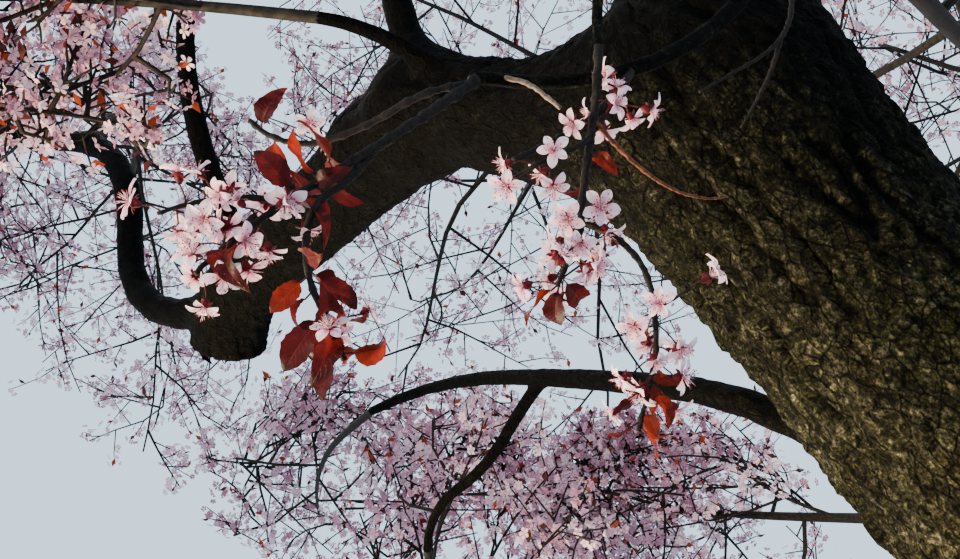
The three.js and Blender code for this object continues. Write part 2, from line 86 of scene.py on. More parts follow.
LIMBS = [
    limb("trunk", None, 0, TRUNK_LENGTH, (178, 187, 188, 186, 188), (82, 73, 61, 52.5, 58),
         0.200, 0.156, 180, 0.0055),
    limb("leader", "trunk", 1, 1.35, (20, 60, 110), (86, 82, 84), 0.132, 0.058, 110, 0.011),
    limb("arched_bough_inner", "trunk", 1, 0.522, (166, 151, 132, 130), (19, 12, 37, 5),
         0.084, 0.074, 100, 0.005),
    limb("arched_bough_sawn_end", "arched_bough_inner", 1, 0.633, (126, 128, 137, 101),
         (5, -7, -12, -40), 0.074, 0.066, 90, 0.0055),
    limb("left_bough", "arched_bough_sawn_end", 0.83, 1.816, (146, 139, 143, 159, 158),
         (-18, 83, 20, 30, 16), 0.028, 0.019, 24, 0.011),
    limb("back_left_bough", "left_bough", 0.45, 0.7, (104, 98), (46, 32), 0.021, 0.015, 16, 0.016),
    limb("left_upright", "arched_bough_sawn_end", 0.75, 1.1, (221, 180, 106), (54, 89, 60),
         0.020, 0.014, 20, 0.012),
    limb("bend_upright", "arched_bough_inner", 0.92, 1.0, (176, 140, 100), (69, 86, 56),
         0.026, 0.017, 20, 0.012),
    limb("near_left_shoot", "arched_bough_inner", 0.75, 0.26, (210, 186), (46, 6),
         0.014, 0.009, 16, 0.01),
    limb("lower_bough", "trunk", 0.5, 2.573, (105, 126, 163, 127, 128, 130), (62, 50, 50, 23, 18, -1),
         0.042, 0.010, 28, 0.01),
    limb("right_back_bough", "leader", 0.14, 1.0, (34, 52, 60), (48, 36, 18), 0.058, 0.024, 26, 0.018),
    limb("back_bough", "leader", 0.24, 1.35, (70, 88, 96), (55, 38, 12), 0.062, 0.023, 26, 0.018),
    limb("near_bough", "leader", 0.3, 1.1, (-91, -99, -109, -155, -148), (21, -54, -83, -48, -13),
         0.015, 0.005, 20, 0.004),
    limb("near_shoot", "near_bough", 0.46, 0.488, (-125, -139, -154), (-77, -25, -94),
         0.007, 0.004, 16, 0.003),
    limb("right_front_bough", "leader", 0.42, 1.05, (-56, -44, -36), (48, 36, 20),
         0.060, 0.024, 26, 0.018),
    limb("left_front_bough", "leader", 0.52, 1.1, (205, 206, 198), (50, 36, 14), 0.054, 0.022, 26, 0.018),
    limb("front_bough", "leader", 0.64, 0.9, (-70, -104, -108), (50, 40, 24), 0.050, 0.022, 26, 0.018),
    limb("right_top_bough", "leader", 0.78, 0.75, (-30, -10, 5), (48, 42, 52), 0.044, 0.022, 26, 0.018),
    limb("right_bough", "trunk", 0.6, 1.5, (20, 8, 16), (62, 44, 28), 0.072, 0.026, 30, 0.018),
    limb("low_branch", "lower_bough", 0.755, 0.46, (131, 131, 150, 95), (-34, -43, -25, -58),
         0.014, 0.009, 16, 0.01),
    limb("low_back_bough", "trunk", 0.5, 2.1, (80, 92, 104), (58, 34, 14), 0.034, 0.014, 20, 0.016),
]


def mass(name, limb_name, heading, rise, halves):
    """A space of the crown: an ellipsoid whose half sizes are along its axis, across and upwards."""
    return dict(name=name, limb=limb_name, heading=heading, rise=rise, halves=halves)


MASSES = [
    mass("crown_top", "leader", 120, 84, (1.4, 1.7, 1.7)),
    mass("crown_back", "back_bough", 96, 20, (1.45, 1.7, 1.5)),
    mass("crown_back_low", "lower_bough", 92, 6, (0.8, 0.7, 0.55)),
    mass("crown_back_left", "back_left_bough", 112, 12, (1.05, 1.2, 1.15)),
    mass("crown_left_back", "left_bough", 154, 14, (1.15, 1.7, 1.2)),
    mass("crown_left_top", "left_upright", 168, 52, (1.4, 1.7, 1.5)),
    mass("crown_back_top", "bend_upright", 104, 62, (1.35, 1.6, 1.4)),
    mass("crown_near_left", "near_left_shoot", 176, 4, (0.42, 0.34, 0.26)),
    mass("crown_right_back", "right_back_bough", 50, 20, (1.5, 1.8, 1.4)),
    mass("crown_right", "right_bough", 6, 24, (1.4, 1.9, 1.4)),
    mass("crown_right_front", "right_front_bough", -46, 20, (1.5, 1.9, 1.45)),
    mass("crown_right_top", "right_top_bough", 2, 50, (1.35, 1.7, 1.5)),
    mass("crown_front", "front_bough", -102, 24, (1.5, 1.9, 1.45)),
    mass("crown_left_front", "left_front_bough", 208, 18, (1.55, 1.95, 1.45)),
    mass("crown_low_middle", "low_branch", 76, 32, (0.75, 0.75, 0.52)),
    mass("crown_low_right", "low_back_bough", 140, 14, (0.85, 0.8, 0.52)),
]
CENTRE_SHARE = 0.94  # how far a space's centre is from its limb's tip, in its half length

# The growth rule. reach is a share of the mass's half length, and foot of the limb's tip.
STEM = dict(reach=1.6, steps=4, bend=0.45, tip=0.36, rings=17)
TWIG = dict(count=14, fewest=8, full_at=1.1, steps=6, start=0.08, end=0.94, shift=0.6,
            angle=76, angle_at_tip=34, angle_spread=16, reach=1.35, reach_at_tip=0.9, reach_spread=0.3,
            foot=0.5, foot_at_tip=0.34, tip=0.003)
SIDE_TWIG = dict(count=8, steps=3, start=0.14, end=0.98, angle=46, angle_spread=24, turn_spread=90,
                 reach=0.52, reach_at_tip=0.32, reach_spread=0.5, foot=0.0052, tip=0.0023)
FINE_TWIG = dict(count=6, steps=2, start=0.12, end=0.96, angle=42, angle_spread=34, turn_spread=120,
                 reach=0.42, reach_at_tip=0.26, reach_spread=0.8, foot=0.0029, tip=0.0016, clearance=0.02)
GOLDEN_ANGLE = 137.5
SWAY = 0.45  # how much a twig wanders at each step
LIFT = 0.14  # and how much it is drawn upwards
TWIG_CLEARANCE = 0.075
TURN_BACK = 1.0  # how sharply a twig bends back from the edge of its space
BOX_MARGIN = 0.09  # how far twigs may pass the box of the solids
RUN_TEST_STEP = 0.06
SEED = 20260

# The near sprays, which hang low in front of the leader.
NEAR_SPRAYS = [
    dict(name="near_spray_left", limb="near_bough", twigs=[
        dict(length=0.259, heading=(-165, -163, -176, -184), rise=(-47, -43, -39, -48),
             foot=0.0045, tip=0.002),
        dict(parent=0, at=0.29, length=0.208, heading=(-178, -165, -139, -280, -337, -306),
             rise=(-35, -60, -46, -82, -58, -58), foot=0.0032, tip=0.002),
        dict(parent=0, at=0.04, length=0.175, heading=(-163, -200, -186, -158),
             rise=(-14, -27, -13, 41), foot=0.003, tip=0.002),
    ]),
    dict(name="near_spray_middle", limb="near_shoot", twigs=[
        dict(length=0.154, heading=(92, 130, 160), rise=(-72, -75, -86), foot=0.0036, tip=0.0028),
        dict(parent=0, at=1, length=0.049, heading=(-162, -207), rise=(-68, -68),
             foot=0.0024, tip=0.0018),
        dict(parent=0, at=0.96, length=0.179, heading=(-20, 5, 71, 117, 149),
             rise=(-21, -51, -78, -64, -70), foot=0.0026, tip=0.0018),
        dict(parent=0, at=0.5, length=0.079, heading=(-123, -215), rise=(-47, -17),
             foot=0.0022, tip=0.0016),
        dict(parent=0, at=0.48, length=0.068, heading=(42, 19), rise=(54, 56),
             foot=0.0022, tip=0.0016),
    ]),
]

# The camera, at the photograph's angle
CAMERA_PLACE = (-1.49, -1.40, 1.62)
CAMERA_PITCH = 117
CAMERA_LENS = 46.875
SENSOR = 36
PICTURE_SHAPE = 0.6  # the picture's height over its width, with a little to spare
PICTURE_MARGIN = 1.12  # what is as near the picture as this counts as seen
NEAREST_SEEN = 0.2  # what is nearer the camera than this doesn't count as seen

# The bark's shape
FILLET = 0.9  # how far a limb is blended into its parent, in radii of its foot
FILLETS = {"leader": 0.25, "arched_bough_inner": 1.8, "arched_bough_sawn_end": 0.3}
FILLET_ROUNDS = 8
SHARED = 0.05  # nearer than this to a neighbour, a limb's bark is a mixture of both
SHARED_FADE = 0.012
OVERLAP = 0.012  # how far a limb's surface runs on under its neighbour's
BURIED = 0.03  # faces deeper than this below the overlap are left out
BARK_TURN = 0.37  # each limb takes its bark from this much further along the pattern
FURROW_DEPTH = 0.010
PLATE_DEPTH = 0.0055
GRAIN_DEPTH = 0.0035
LUMP_DEPTH = 0.009
FULL_RELIEF_RADIUS = 0.15  # a slimmer limb's relief is as much shallower
SLIM_PAINTED_SHADE = ((0.03, 0.13), (0.3, 1.0))  # radii, and how light the bark is at them: painted shade that darkens the slimmer limbs
SAWN_LIMB = "arched_bough_sawn_end"
SAWN_FACE = [(1.0, 0.0), (0.95, 0.005), (0.86, 0.003), (0.6, 0.001), (0.3, -0.001)]  # shares and heights
SWELLINGS = [  # old knots: where on a limb, how far from its centre line, and how large
    dict(limb="arched_bough_inner", at=0.93, heading=150, rise=70, out=0.045, radius=0.068, blend=0.07),
    dict(limb="arched_bough_sawn_end", at=0.2, heading=-60, rise=65, out=0.035, radius=0.06, blend=0.06),
    dict(limb="lower_bough", at=0.24, heading=-90, rise=-30, out=0.016, radius=0.024, blend=0.02),
    dict(limb="trunk", at=0.82, heading=-80, rise=10, out=0.125, radius=0.05, blend=0.07),
    dict(limb="trunk", at=0.64, heading=-150, rise=-20, out=0.13, radius=0.055, blend=0.08),
]
SEEN_FROM = 1.45  # the trunk's rings are close from here up, and coarser below
COARSE_RING = 0.016

# The shapes of flowers, in lengths of a petal
PETALS = 5
OPENNESS = (12, 32, 55)  # how steep the petals of the crown's three shapes of flower stand
NEAR_OPENNESS = (14, 28, 48, 92)  # the same for near flowers, and for the one that is half open
OPENNESS_SPREAD = 12
FINE_ROWS = (0.03, 0.12, 0.24, 0.38, 0.54, 0.70, 0.82, 0.91, 0.965, 1.0)
FINE_COLUMNS = 7
STAMENS = 20
FILAMENT_RADIUS = 0.014
ANTHER_RADIUS = 0.044
CUP_RINGS = ((-0.46, 0.055), (-0.34, 0.15), (-0.14, 0.22), (0.02, 0.19))  # heights and radii
CUP_SIDES = 8

# The crown's blossom and leaves. What the photograph doesn't show has larger, plainer flowers.
SEEN_CLOSE = 2.7  # nearer than this, flowers have the most faces
BLOSSOM = dict(spots=3, cluster=3, cluster_close=2, start=0.2, end=1.0, angle=40, angle_spread=70,
               stalk=0.02, spread=0.4, tangle=0.8, seen=0.0130, unseen=0.024, size_spread=0.4)
CROWN_LEAF = dict(spots=1, start=0.7, end=1.0, angle=35, angle_spread=50, seen=0.028, unseen=0.045,
                  size_spread=0.5)
THINNED_WITHIN = 2.2
THINNED_SHARE = 0.45  # of the spots nearer than that, this share is bare

# Near twigs, with flowers and leaves of the real size
FLOWER_RADIUS = 0.0140
NEAR_TWIG = dict(ring=0.003, sides=8, bud_spacing=0.017, bud_swell=0.28, roughness=0.16, wobble=0.0007)
BARE_TWIGS = [  # slim bare twigs near the viewer, each from a near limb or from an earlier twig
    dict(name="crossing_twig", limb="near_bough", at=0.86, length=0.152, heading=(-112, -162, -176, -166),
         rise=(-59, -56, -34, -32), foot=0.0042, tip=0.0026),
    dict(name="tan_twig", limb="near_bough", at=0.985, length=0.055, heading=(-10, 26, 41),
         rise=(7, -22, -20), foot=0.0020, tip=0.0016),
    dict(name="red_twig", parent=("near_spray_middle", 0), at=0.4, length=0.156, heading=(33, 43, 39, 33),
         rise=(-42, -14, 5, 26), foot=0.0020, tip=0.0009),
    dict(name="forked_twig", limb="near_bough", at=0.58, length=0.243,
         heading=(20, -74, -169, -183, -183), rise=(-59, -89, -71, -32, -32), foot=0.0034, tip=0.0012),
    dict(name="forked_twig_side", parent="forked_twig", at=0.6, length=0.089, heading=(116, 136, 146),
         rise=(-62, -53, -49), foot=0.0024, tip=0.0011),
    dict(name="bud_twig", parent=("near_spray_middle", 2), at=0.52, length=0.031,
         heading=(-40, -38, -38), rise=(24, 15, 13), foot=0.0013, tip=0.0009),
    dict(name="left_spur", parent=("near_spray_left", 0), at=0.7, length=0.086,
         heading=(-150, -165, -175), rise=(-2, -16, -26), foot=0.0024, tip=0.0014),
]

# Groups of blooms: spray, twig, from and to which share of it, how many, how far they rise, and size.
NEAR_FLOWERS = [
    ("near_spray_left", 0, 0.62, 1.0, 16, -0.2, 1), ("left_spur", 0, 0.3, 1.0, 9, -0.1, 1),
    ("near_spray_left", 1, 0.86, 0.97, 3, 0.3, 1), ("near_spray_left", 2, 0.5, 0.75, 2, 0.2, 1),
    ("near_spray_middle", 0, 0.3, 0.46, 3, 0.1, 1), ("near_spray_middle", 0, 0.8, 1.0, 5, -0.2, 1),
    ("near_spray_middle", 1, 0.1, 1.0, 8, -0.2, 1), ("near_spray_middle", 2, 0.02, 0.14, 3, -0.3, 1),
    ("near_spray_middle", 2, 0.46, 0.86, 13, -0.2, 1), ("near_spray_middle", 3, 0.35, 1.0, 5, -0.5, 1),
    ("near_spray_middle", 4, 0.3, 1.0, 5, 0.0, 1), ("bud_twig", 0, 1.0, 1.0, 1, 0.1, 0.5),
]
NEAR_LEAVES = [
    ("near_spray_left", 0, 0.5, 0.72, 8, 0.5, 1), ("near_spray_left", 0, 0.82, 0.9, 2, -1.2, 1),
    ("near_spray_left", 1, 0.64, 1.0, 14, -0.4, 1), ("near_spray_left", 2, 0.8, 1.0, 2, 0.2, 1),
    ("near_spray_middle", 1, 0.8, 1.0, 3, -1.2, 0.9), ("near_spray_middle", 2, 0.74, 1.0, 9, -0.6, 0.62),
    ("near_spray_middle", 0, 0.56, 0.68, 2, -0.6, 0.8),
]
HALF_OPEN = "bud_twig"  # the twig whose flower is half open and goes on along it
NEAR_PEDICEL = dict(length=0.018, spread=0.5, radius=0.0006, arch=0.0018)
NEAR_FLOWER = dict(tangle=1.8, base=0.42, least=0.88, size_spread=0.25)
NEAR_LEAF = dict(length=0.033, spread=0.55, petiole=0.008, radius=0.0007, rows=18, columns=9)
NEAR_LEAF_SHAPES = ((0.35, 0.5), (0.7, 0.9), (0.2, 0.25))  # how far each is folded and curled
TOWARD_VIEWER = np.array([0, -0.10, -0.06])  # open flowers turn a little towards the viewer

# Colours
BARK_DARK = (0.005, 0.0044, 0.0016)
BARK_MIDDLE = (0.031, 0.0290, 0.0135)
BARK_LIGHT = (0.120, 0.110, 0.062)
BARK_TAN = (0.09, 0.062, 0.023)
MOSS = (0.030, 0.034, 0.005)
LICHEN = (0.26, 0.28, 0.21)
PAINTED_SHADE_HEIGHTS = (2.08, 2.48)  # painted shade: the bark darkens between these heights, to a share of its tone, as if shaded by the crown
PAINTED_SHADE_DARKEST = 0.08
TWIG_SKINS = {  # the dark and light tones of each smooth skin, and the scale of its flecks
    "twig_bark": ((0.005, 0.004, 0.003), (0.020, 0.016, 0.012), 90),
    "near_twig_bark": ((0.003, 0.0024, 0.0018), (0.014, 0.011, 0.009), 420),
    "tan_twig_bark": ((0.10, 0.062, 0.040), (0.26, 0.19, 0.13), 300),
    "red_twig_bark": ((0.045, 0.012, 0.006), (0.15, 0.055, 0.026), 300),
    "stalk_skin": ((0.035, 0.006, 0.008), (0.075, 0.016, 0.014), 400),
    "anther_skin": ((0.10, 0.012, 0.015), (0.20, 0.03, 0.03), 500),
}
PETAL_TINTS_AND_SHADES = [  # the crown's petals: their tone and its mottling, from pale pink to deeper tints that are partly the petals' own pink and partly painted shade
    ((0.86, 0.66, 0.72), (0.80, 0.54, 0.62)),
    ((0.72, 0.46, 0.55), (0.62, 0.34, 0.44)),
    ((0.50, 0.25, 0.34), (0.40, 0.17, 0.25)),
]
NEAR_PETAL = [(0.0, (0.20, 0.01, 0.04)), (0.2, (0.48, 0.07, 0.16)),  # from the claw to the tip
              (0.36, (0.84, 0.47, 0.58)), (0.7, (0.91, 0.77, 0.82))]
STAMEN_TINTS = ((0.82, 0.60, 0.66), (0.76, 0.48, 0.56), (0.8, 0.5, 0.55))
CUP_TINTS = ((0.070, 0.006, 0.010), (0.11, 0.012, 0.016), (0.2, 0.02, 0.02))
LEAF_TINTS = [
    ("dark", (0.055, 0.012, 0.012), (0.085, 0.018, 0.012)),
    ("red", (0.24, 0.03, 0.015), (0.32, 0.05, 0.015)),
]
NEAR_LEAF_TINTS = [
    ("dark", (0.030, 0.0035, 0.005), (0.08, 0.014, 0.010), (0.10, 0.008, 0.007)),
    ("red", (0.075, 0.0075, 0.005), (0.17, 0.027, 0.012), (0.23, 0.020, 0.008)),
]

# Light
SURROUND = (0.61, 0.81, 1.0)
SURROUND_STRENGTH = 1.75
SUNS = [  # where each soft sun stands, its strength, its softness in degrees and its colour
    dict(name="sun_left", heading=198, rise=20, strength=2.0, softness=12, colour=(1.0, 0.88, 0.70)),
    dict(name="sun_behind", heading=118, rise=48, strength=1.5, softness=25, colour=(1.0, 0.96, 0.90)),
]
LAMPS = [  # warm lamps under the crown: where they stand, what they face, power and cone in degrees
    dict(name="low_lamp", place=(-3.5, -0.75, 0.85), aim=(-0.95, 0.1, 2.15), power=900, cone=64),
    dict(name="rim_lamp", place=(-3.1, 1.15, 0.7), aim=(-0.9, 0.1, 2.2), power=900, cone=64),
]
LAMP_COLOUR = (1.0, 0.78, 0.50)
LAMP_RADIUS = 0.1
FLOOR_RADIUS = 120


# Numbers, lines and directions

def drawn(*keys):
    """Whole numbers, or arrays of them, turned into numbers from 0 to 1, the same each time."""
    low_half = np.uint64(0xFFFFFFFF)
    h = np.uint64(SEED)
    for key in keys:
        h = ((h ^ np.asarray(key).astype(np.uint64)) * np.uint64(0x9E3779B1)) & low_half
        h = h ^ (h >> np.uint64(15))
        h = (h * np.uint64(0x85EBCA6B)) & low_half
        h = h ^ (h >> np.uint64(13))
    return h / 2.0 ** 32


def scattered(*keys, first):
    """Three numbers from -0.5 to 0.5 for each key, as vectors."""
    return np.stack([drawn(*keys, first + k) for k in range(3)], axis=1) - 0.5


def unit(vectors):
    return vectors / np.maximum(np.linalg.norm(vectors, axis=-1, keepdims=True), 1e-12)


def mix(a, b, share):
    return a + (b - a) * share


def direction_of(heading, rise):
    heading, rise = np.radians(heading), np.radians(rise)
    flat = np.cos(rise)
    return np.stack([flat * np.cos(heading), flat * np.sin(heading), np.sin(rise)], axis=-1)


def route_of(sizes, start):
    """The centre line of a limb or near twig, as equal steps."""
    share = (np.arange(ROUTE_STEPS) + 0.5) / ROUTE_STEPS
    places = np.linspace(0, 1, len(sizes["heading"]))
    heading = np.interp(share, places, sizes["heading"])
    rise = np.interp(share, places, sizes["rise"])
    steps = direction_of(heading, rise) * sizes["length"] / ROUTE_STEPS
    return np.vstack([start, start + np.cumsum(steps, axis=0)])


def point_at(points, share):
    x = min(max(share, 0), 1) * (len(points) - 1)
    i = min(int(x), len(points) - 2)
    return mix(points[i], points[i + 1], x - i)


def heading_at(points, share):
    i = min(int(share * (len(points) - 1)), len(points) - 2)
    return unit(points[i + 1] - points[i])


def smooth_lines(points, reached, count):
    """Lines through points[n, 0..reached[n]], each as count points on a smooth curve."""
    u = np.linspace(0, 1, count)[None, :] * reached[:, None]
    i = np.minimum(np.floor(u).astype(int), np.maximum(reached - 1, 0)[:, None])
    t = (u - i)[..., None]
    row = np.arange(len(points))[:, None]
    last = reached[:, None]
    p0, p1 = points[row, np.maximum(i - 1, 0)], points[row, i]
    p2, p3 = points[row, np.minimum(i + 1, last)], points[row, np.minimum(i + 2, last)]
    return 0.5 * (2 * p1 + (p2 - p0) * t + (2 * p0 - 5 * p1 + 4 * p2 - p3) * t ** 2
                  + (3 * p1 - p0 - 3 * p2 + p3) * t ** 3)


def lines_at(points, reached, share):
    """The point and the heading at a share of each line, whose own points are 0..reached[n]."""
    x = share * reached
    i = np.minimum(np.floor(x).astype(int), reached - 1)
    row = np.arange(len(points))
    a, b = points[row, i], points[row, i + 1]
    return mix(a, b, (x - i)[:, None]), unit(b - a)


def branch_directions(along, angle, turn):
    """Unit vectors at an angle from each line and turned round it."""
    steep = np.abs(along[:, 2:3]) > 0.9
    reference = np.where(steep, [[1.0, 0, 0]], [[0, 0, 1.0]])
    side = unit(np.cross(along, reference))
    other = np.cross(side, along)
    angle, turn = np.radians(angle)[:, None], np.radians(turn)[:, None]
    return along * np.cos(angle) + np.sin(angle) * (side * np.cos(turn) + other * np.sin(turn))


# Meshes from arrays

def new_piece(name, vertices, faces, material):
    """An object from an array of vertices and a list of arrays of faces with as many corners."""
    mesh = bpy.data.meshes.new(name)
    loops = np.concatenate([f.ravel() for f in faces])
    sizes = np.concatenate([np.full(len(f), f.shape[1]) for f in faces])
    mesh.vertices.add(len(vertices))
    mesh.vertices.foreach_set("co", np.asarray(vertices, dtype=np.float32).ravel())
    mesh.loops.add(len(loops))
    mesh.loops.foreach_set("vertex_index", loops.astype(np.int32))
    mesh.polygons.add(len(sizes))
    mesh.polygons.foreach_set("loop_start", (np.cumsum(sizes) - sizes).astype(np.int32))
    mesh.polygons.foreach_set("use_smooth", np.full(len(sizes), True))
    mesh.update(calc_edges=True)
    mesh.validate()
    mesh.materials.append(material)
    piece = bpy.data.objects.new(name, mesh)
    bpy.context.scene.collection.objects.link(piece)
    return piece


def stands_for(piece, nodes):
    """Says what a piece rides on and which solids it replaces."""
    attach(piece, "root")
    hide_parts(*nodes)
    return piece


def add_attribute(piece, name, kind, values):
    """Gives each of a piece's points a number or a vector for its material to read."""
    layer = piece.data.attributes.new(name, kind, "POINT")
    layer.data.foreach_set("vector" if kind == "FLOAT_VECTOR" else "value",
                           np.asarray(values, dtype=np.float32).ravel())


def ring_faces(number):
    """Four-sided faces between rings of points, whose numbers are number[..., ring, side]."""
    nearer, further = number[..., :-1, :], number[..., 1:, :]
    around = [nearer, np.roll(nearer, -1, -1), np.roll(further, -1, -1), further]
    return np.stack(around, axis=-1).reshape(-1, 4)


def sheet_faces(number):
    """Four-sided faces of a sheet of points, whose numbers are number[row, column]."""
    around = [number[:-1, :-1], number[:-1, 1:], number[1:, 1:], number[1:, :-1]]
    return np.stack(around, axis=-1).reshape(-1, 4)


def tubes(lines, radii, sides):
    """Vertices and faces of tubes round lines[n, k], each closed at its far end."""
    count, rings = lines.shape[:2]
    along = unit(np.gradient(lines, axis=1))
    chord = unit(lines[:, -1] - lines[:, 0] + 1e-9)
    reference = np.where(np.abs(chord[:, 2:3]) > 0.8, [[1.0, 0, 0]], [[0, 0, 1.0]])[:, None, :]
    side = unit(np.cross(along, np.broadcast_to(reference, along.shape)))
    other = np.cross(along, side)
    turn = np.arange(sides) * 2 * np.pi / sides
    ring = (side[:, :, None, :] * np.cos(turn)[None, None, :, None]
            + other[:, :, None, :] * np.sin(turn)[None, None, :, None])
    vertices = lines[:, :, None, :] + ring * radii[:, :, None, None]
    number = np.arange(count * rings * sides).reshape(count, rings, sides)
    return vertices.reshape(-1, 3), [ring_faces(number), number[:, -1]]


def placed(template, origins, frames, scales):
    """Copies of a template's vertices and faces. frames[n] holds the copy's own x, y and z as rows."""
    vertices, faces = template
    moved = np.einsum("vk,nkj->nvj", vertices, frames) * scales[:, None, None] + origins[:, None, :]
    shift = (np.arange(len(origins)) * len(vertices))[:, None, None]
    return moved.reshape(-1, 3), [(f[None] + shift).reshape(-1, f.shape[1]) for f in faces]


def joined(parts):
    """One array of vertices and one list of faces from several, with equal corner counts together."""
    vertices, faces, shift = [], {}, 0
    for part_vertices, part_faces in parts:
        for f in part_faces:
            if len(f):
                faces.setdefault(f.shape[1], []).append(f + shift)
        vertices.append(part_vertices)
        shift += len(part_vertices)
    return np.concatenate(vertices), [np.concatenate(f) for f in faces.values()]


def frames_facing(facing, spin):
    """Frames whose z is facing[n], turned about it by spin[n] radians."""
    steep = np.abs(facing[:, 2:3]) > 0.9
    reference = np.where(steep, [[1.0, 0, 0]], [[0, 0, 1.0]])
    x = unit(np.cross(reference, facing))
    y = np.cross(facing, x)
    c, s = np.cos(spin)[:, None], np.sin(spin)[:, None]
    return np.stack([x * c + y * s, y * c - x * s, facing], axis=1)


def frames_along(direction, other):
    """Frames whose y is direction[n] and whose z is square to it and to other[n]."""
    z = unit(np.cross(direction, other))
    return np.stack([np.cross(direction, z), direction, z], axis=1)


# Bark

def prepare_limbs():
    """Every limb's centre line and untwisted frames, and how far it starts inside its parent."""
    by_name = {}
    for sizes in LIMBS:
        parent = by_name.get(sizes["parent"])
        start = point_at(parent["route"], sizes["at"]) if parent else np.zeros(3)
        sizes["route"] = route_of(sizes, start)
        sizes["sunk"] = sizes["foot"] * SUNK_START if parent and sizes["at"] == 1 else 0
        sizes["along"] = unit(np.gradient(sizes["route"], axis=0))
        sizes["side"] = untwisted(sizes["along"])
        sizes["turn"] = BARK_TURN * len(by_name)
        by_name[sizes["name"]] = sizes
    return by_name


def untwisted(along):
    """A side vector square to each heading of a line, turned as little as can be."""
    side = np.zeros_like(along)
    before = np.array([0.12, 1, 0.05])
    for k, heading in enumerate(along):
        before = before - (before @ heading) * heading
        before = before / np.linalg.norm(before)
        side[k] = before
    return side


def radius_along(sizes, share):
    """A limb's radius at a share of its length."""
    return mix(sizes["foot"], sizes["tip"], share)


def frame_at(sizes, share):
    """A limb's centre, heading and side at shares of its length."""
    x = np.clip(share, 0, 1) * ROUTE_STEPS
    i = np.minimum(x.astype(int), ROUTE_STEPS - 1)
    t = (x - i)[:, None]
    centre, along, side = (mix(sizes[key][i], sizes[key][i + 1], t) for key in ("route", "along", "side"))
    along = unit(along)
    side = unit(side - (side * along).sum(axis=1, keepdims=True) * along)
    return centre, along, side


def nearest_on(sizes, points):
    """How far points are outside a limb's plain surface, and the share of its length beside them."""
    a, step = sizes["route"][:-1], np.diff(sizes["route"], axis=0)
    best = np.full(len(points), np.inf)
    at = np.zeros(len(points))
    for k in range(ROUTE_STEPS):
        offset = points - a[k]
        share = np.clip(offset @ step[k] / (step[k] @ step[k]), 0, 1)
        gap = np.linalg.norm(offset - share[:, None] * step[k], axis=1)
        gap -= radius_along(sizes, (k + share) / ROUTE_STEPS)
        closer = gap < best
        best = np.where(closer, gap, best)
        at = np.where(closer, (k + share) / ROUTE_STEPS, at)
    return best, at


def blended(a, b, reach):
    """The distance to two surfaces joined by a fillet."""
    h = np.maximum(reach - np.abs(a - b), 0) / reach
    return np.minimum(a, b) - h * h * reach / 4


def group_of(sizes, limbs):
    """A limb with those that meet it: its parent, what grows from it and what leaves the same fork."""
    group = []
    for other in limbs.values():
        siblings = sizes["parent"] and other["parent"] == sizes["parent"] and other["at"] == sizes["at"]
        family = other["name"] == sizes["parent"] or other["parent"] == sizes["name"]
        if other is sizes or family or siblings:
            group.append(other)
    return group


def shared_field(group, swellings, points):
    """The distance to the surface that a group of limbs and their knots share."""
    field = None
    for other in group:
        gap = nearest_on(other, points)[0]
        reach = FILLETS.get(other["name"], FILLET) * other["foot"]
        field = gap if field is None else blended(field, gap, reach)
    for knot in swellings:
        if any(knot["limb"] == other["name"] for other in group):
            gap = np.linalg.norm(points - knot["centre"], axis=1) - knot["radius"]
            field = blended(field, gap, knot["blend"])
    return field


def joined_surface(sizes, group, swellings, points, outward):
    """Moves a limb's points out to the shared surface. Also says how deep each is in a neighbour."""
    covered = np.full(len(points), -np.inf)
    own = nearest_on(sizes, points)[0]
    close = np.zeros(len(points), dtype=bool)
    for other in group:
        if other is not sizes:
            gap = nearest_on(other, points)[0]
            close |= gap < 2 * FILLETS.get(other["name"], FILLET) * min(other["foot"], sizes["foot"])
            covered = np.maximum(covered, own - gap)
    for knot in swellings:
        close |= np.linalg.norm(points - knot["centre"], axis=1) < knot["radius"] + knot["blend"]
    moving = np.nonzero(close & (covered < OVERLAP + BURIED))[0]
    moved = points[moving]
    for _ in range(FILLET_ROUNDS):
        field = shared_field(group, swellings, moved)
        moved = moved + outward[moving] * np.clip(-field, 0, BURIED)[:, None] * 0.9
    points = points.copy()
    points[moving] = moved
    own = nearest_on(sizes, moved)[0]
    for other in group:
        if other is not sizes:
            covered[moving] = np.maximum(covered[moving], own - nearest_on(other, moved)[0])
    return points, covered


def bark_place(sizes, share, points):
    """Points in a limb's own space, round it and along it, and the way out from its centre line."""
    centre, along, side = frame_at(sizes, share)
    other = np.cross(side, along)
    offset = points - centre
    x, y = (offset * other).sum(axis=1), (offset * side).sum(axis=1)
    flat = np.maximum(radius_along(sizes, share), 0.3 * sizes["foot"]) / np.maximum(np.hypot(x, y), 1e-6)
    z = share * sizes["length"] + (offset * along).sum(axis=1)
    return np.stack([x * flat + sizes["turn"], y * flat, z], axis=1), unit(offset)


def noise_at(x, y, z, across, along, shift=0):
    """Smooth noise in a limb's own space. across and along are how fine it is in each direction."""
    return noise.noise(Vector((x * across, y * across, z * along + shift)))


def bark_height(x, y, z):
    """The relief, the furrow and the plate at a point of a limb's own space, whose z runs along it."""
    bend = noise_at(x, y, z, 9, 7) * 0.02 + noise_at(x, y, z, 40, 30) * 0.009
    crack = abs(noise_at(x + bend, y + bend, z, 13, 2.6, 7))
    where = noise_at(x, y, z, 7, 4.5, 31)
    furrow = max(0.0, 1 - crack * 13) * min(max(where * 6 + 0.5, 0), 1)
    cells = noise.voronoi(Vector(((x + bend) * 52, (y - bend) * 52, z * 27)))[0]
    plate = min(max((cells[1] - cells[0]) * 2.2, 0), 1)
    grain = noise.fractal(Vector((x * 70, y * 70, z * 48)), 0.8, 2.1, 3)
    lump = noise_at(x, y, z, 4.5, 3.5, 3) + 0.4 * noise_at(x, y, z, 13, 8)
    height = LUMP_DEPTH * lump - FURROW_DEPTH * furrow + PLATE_DEPTH * (plate - 0.6) + GRAIN_DEPTH * grain
    return height, furrow, plate


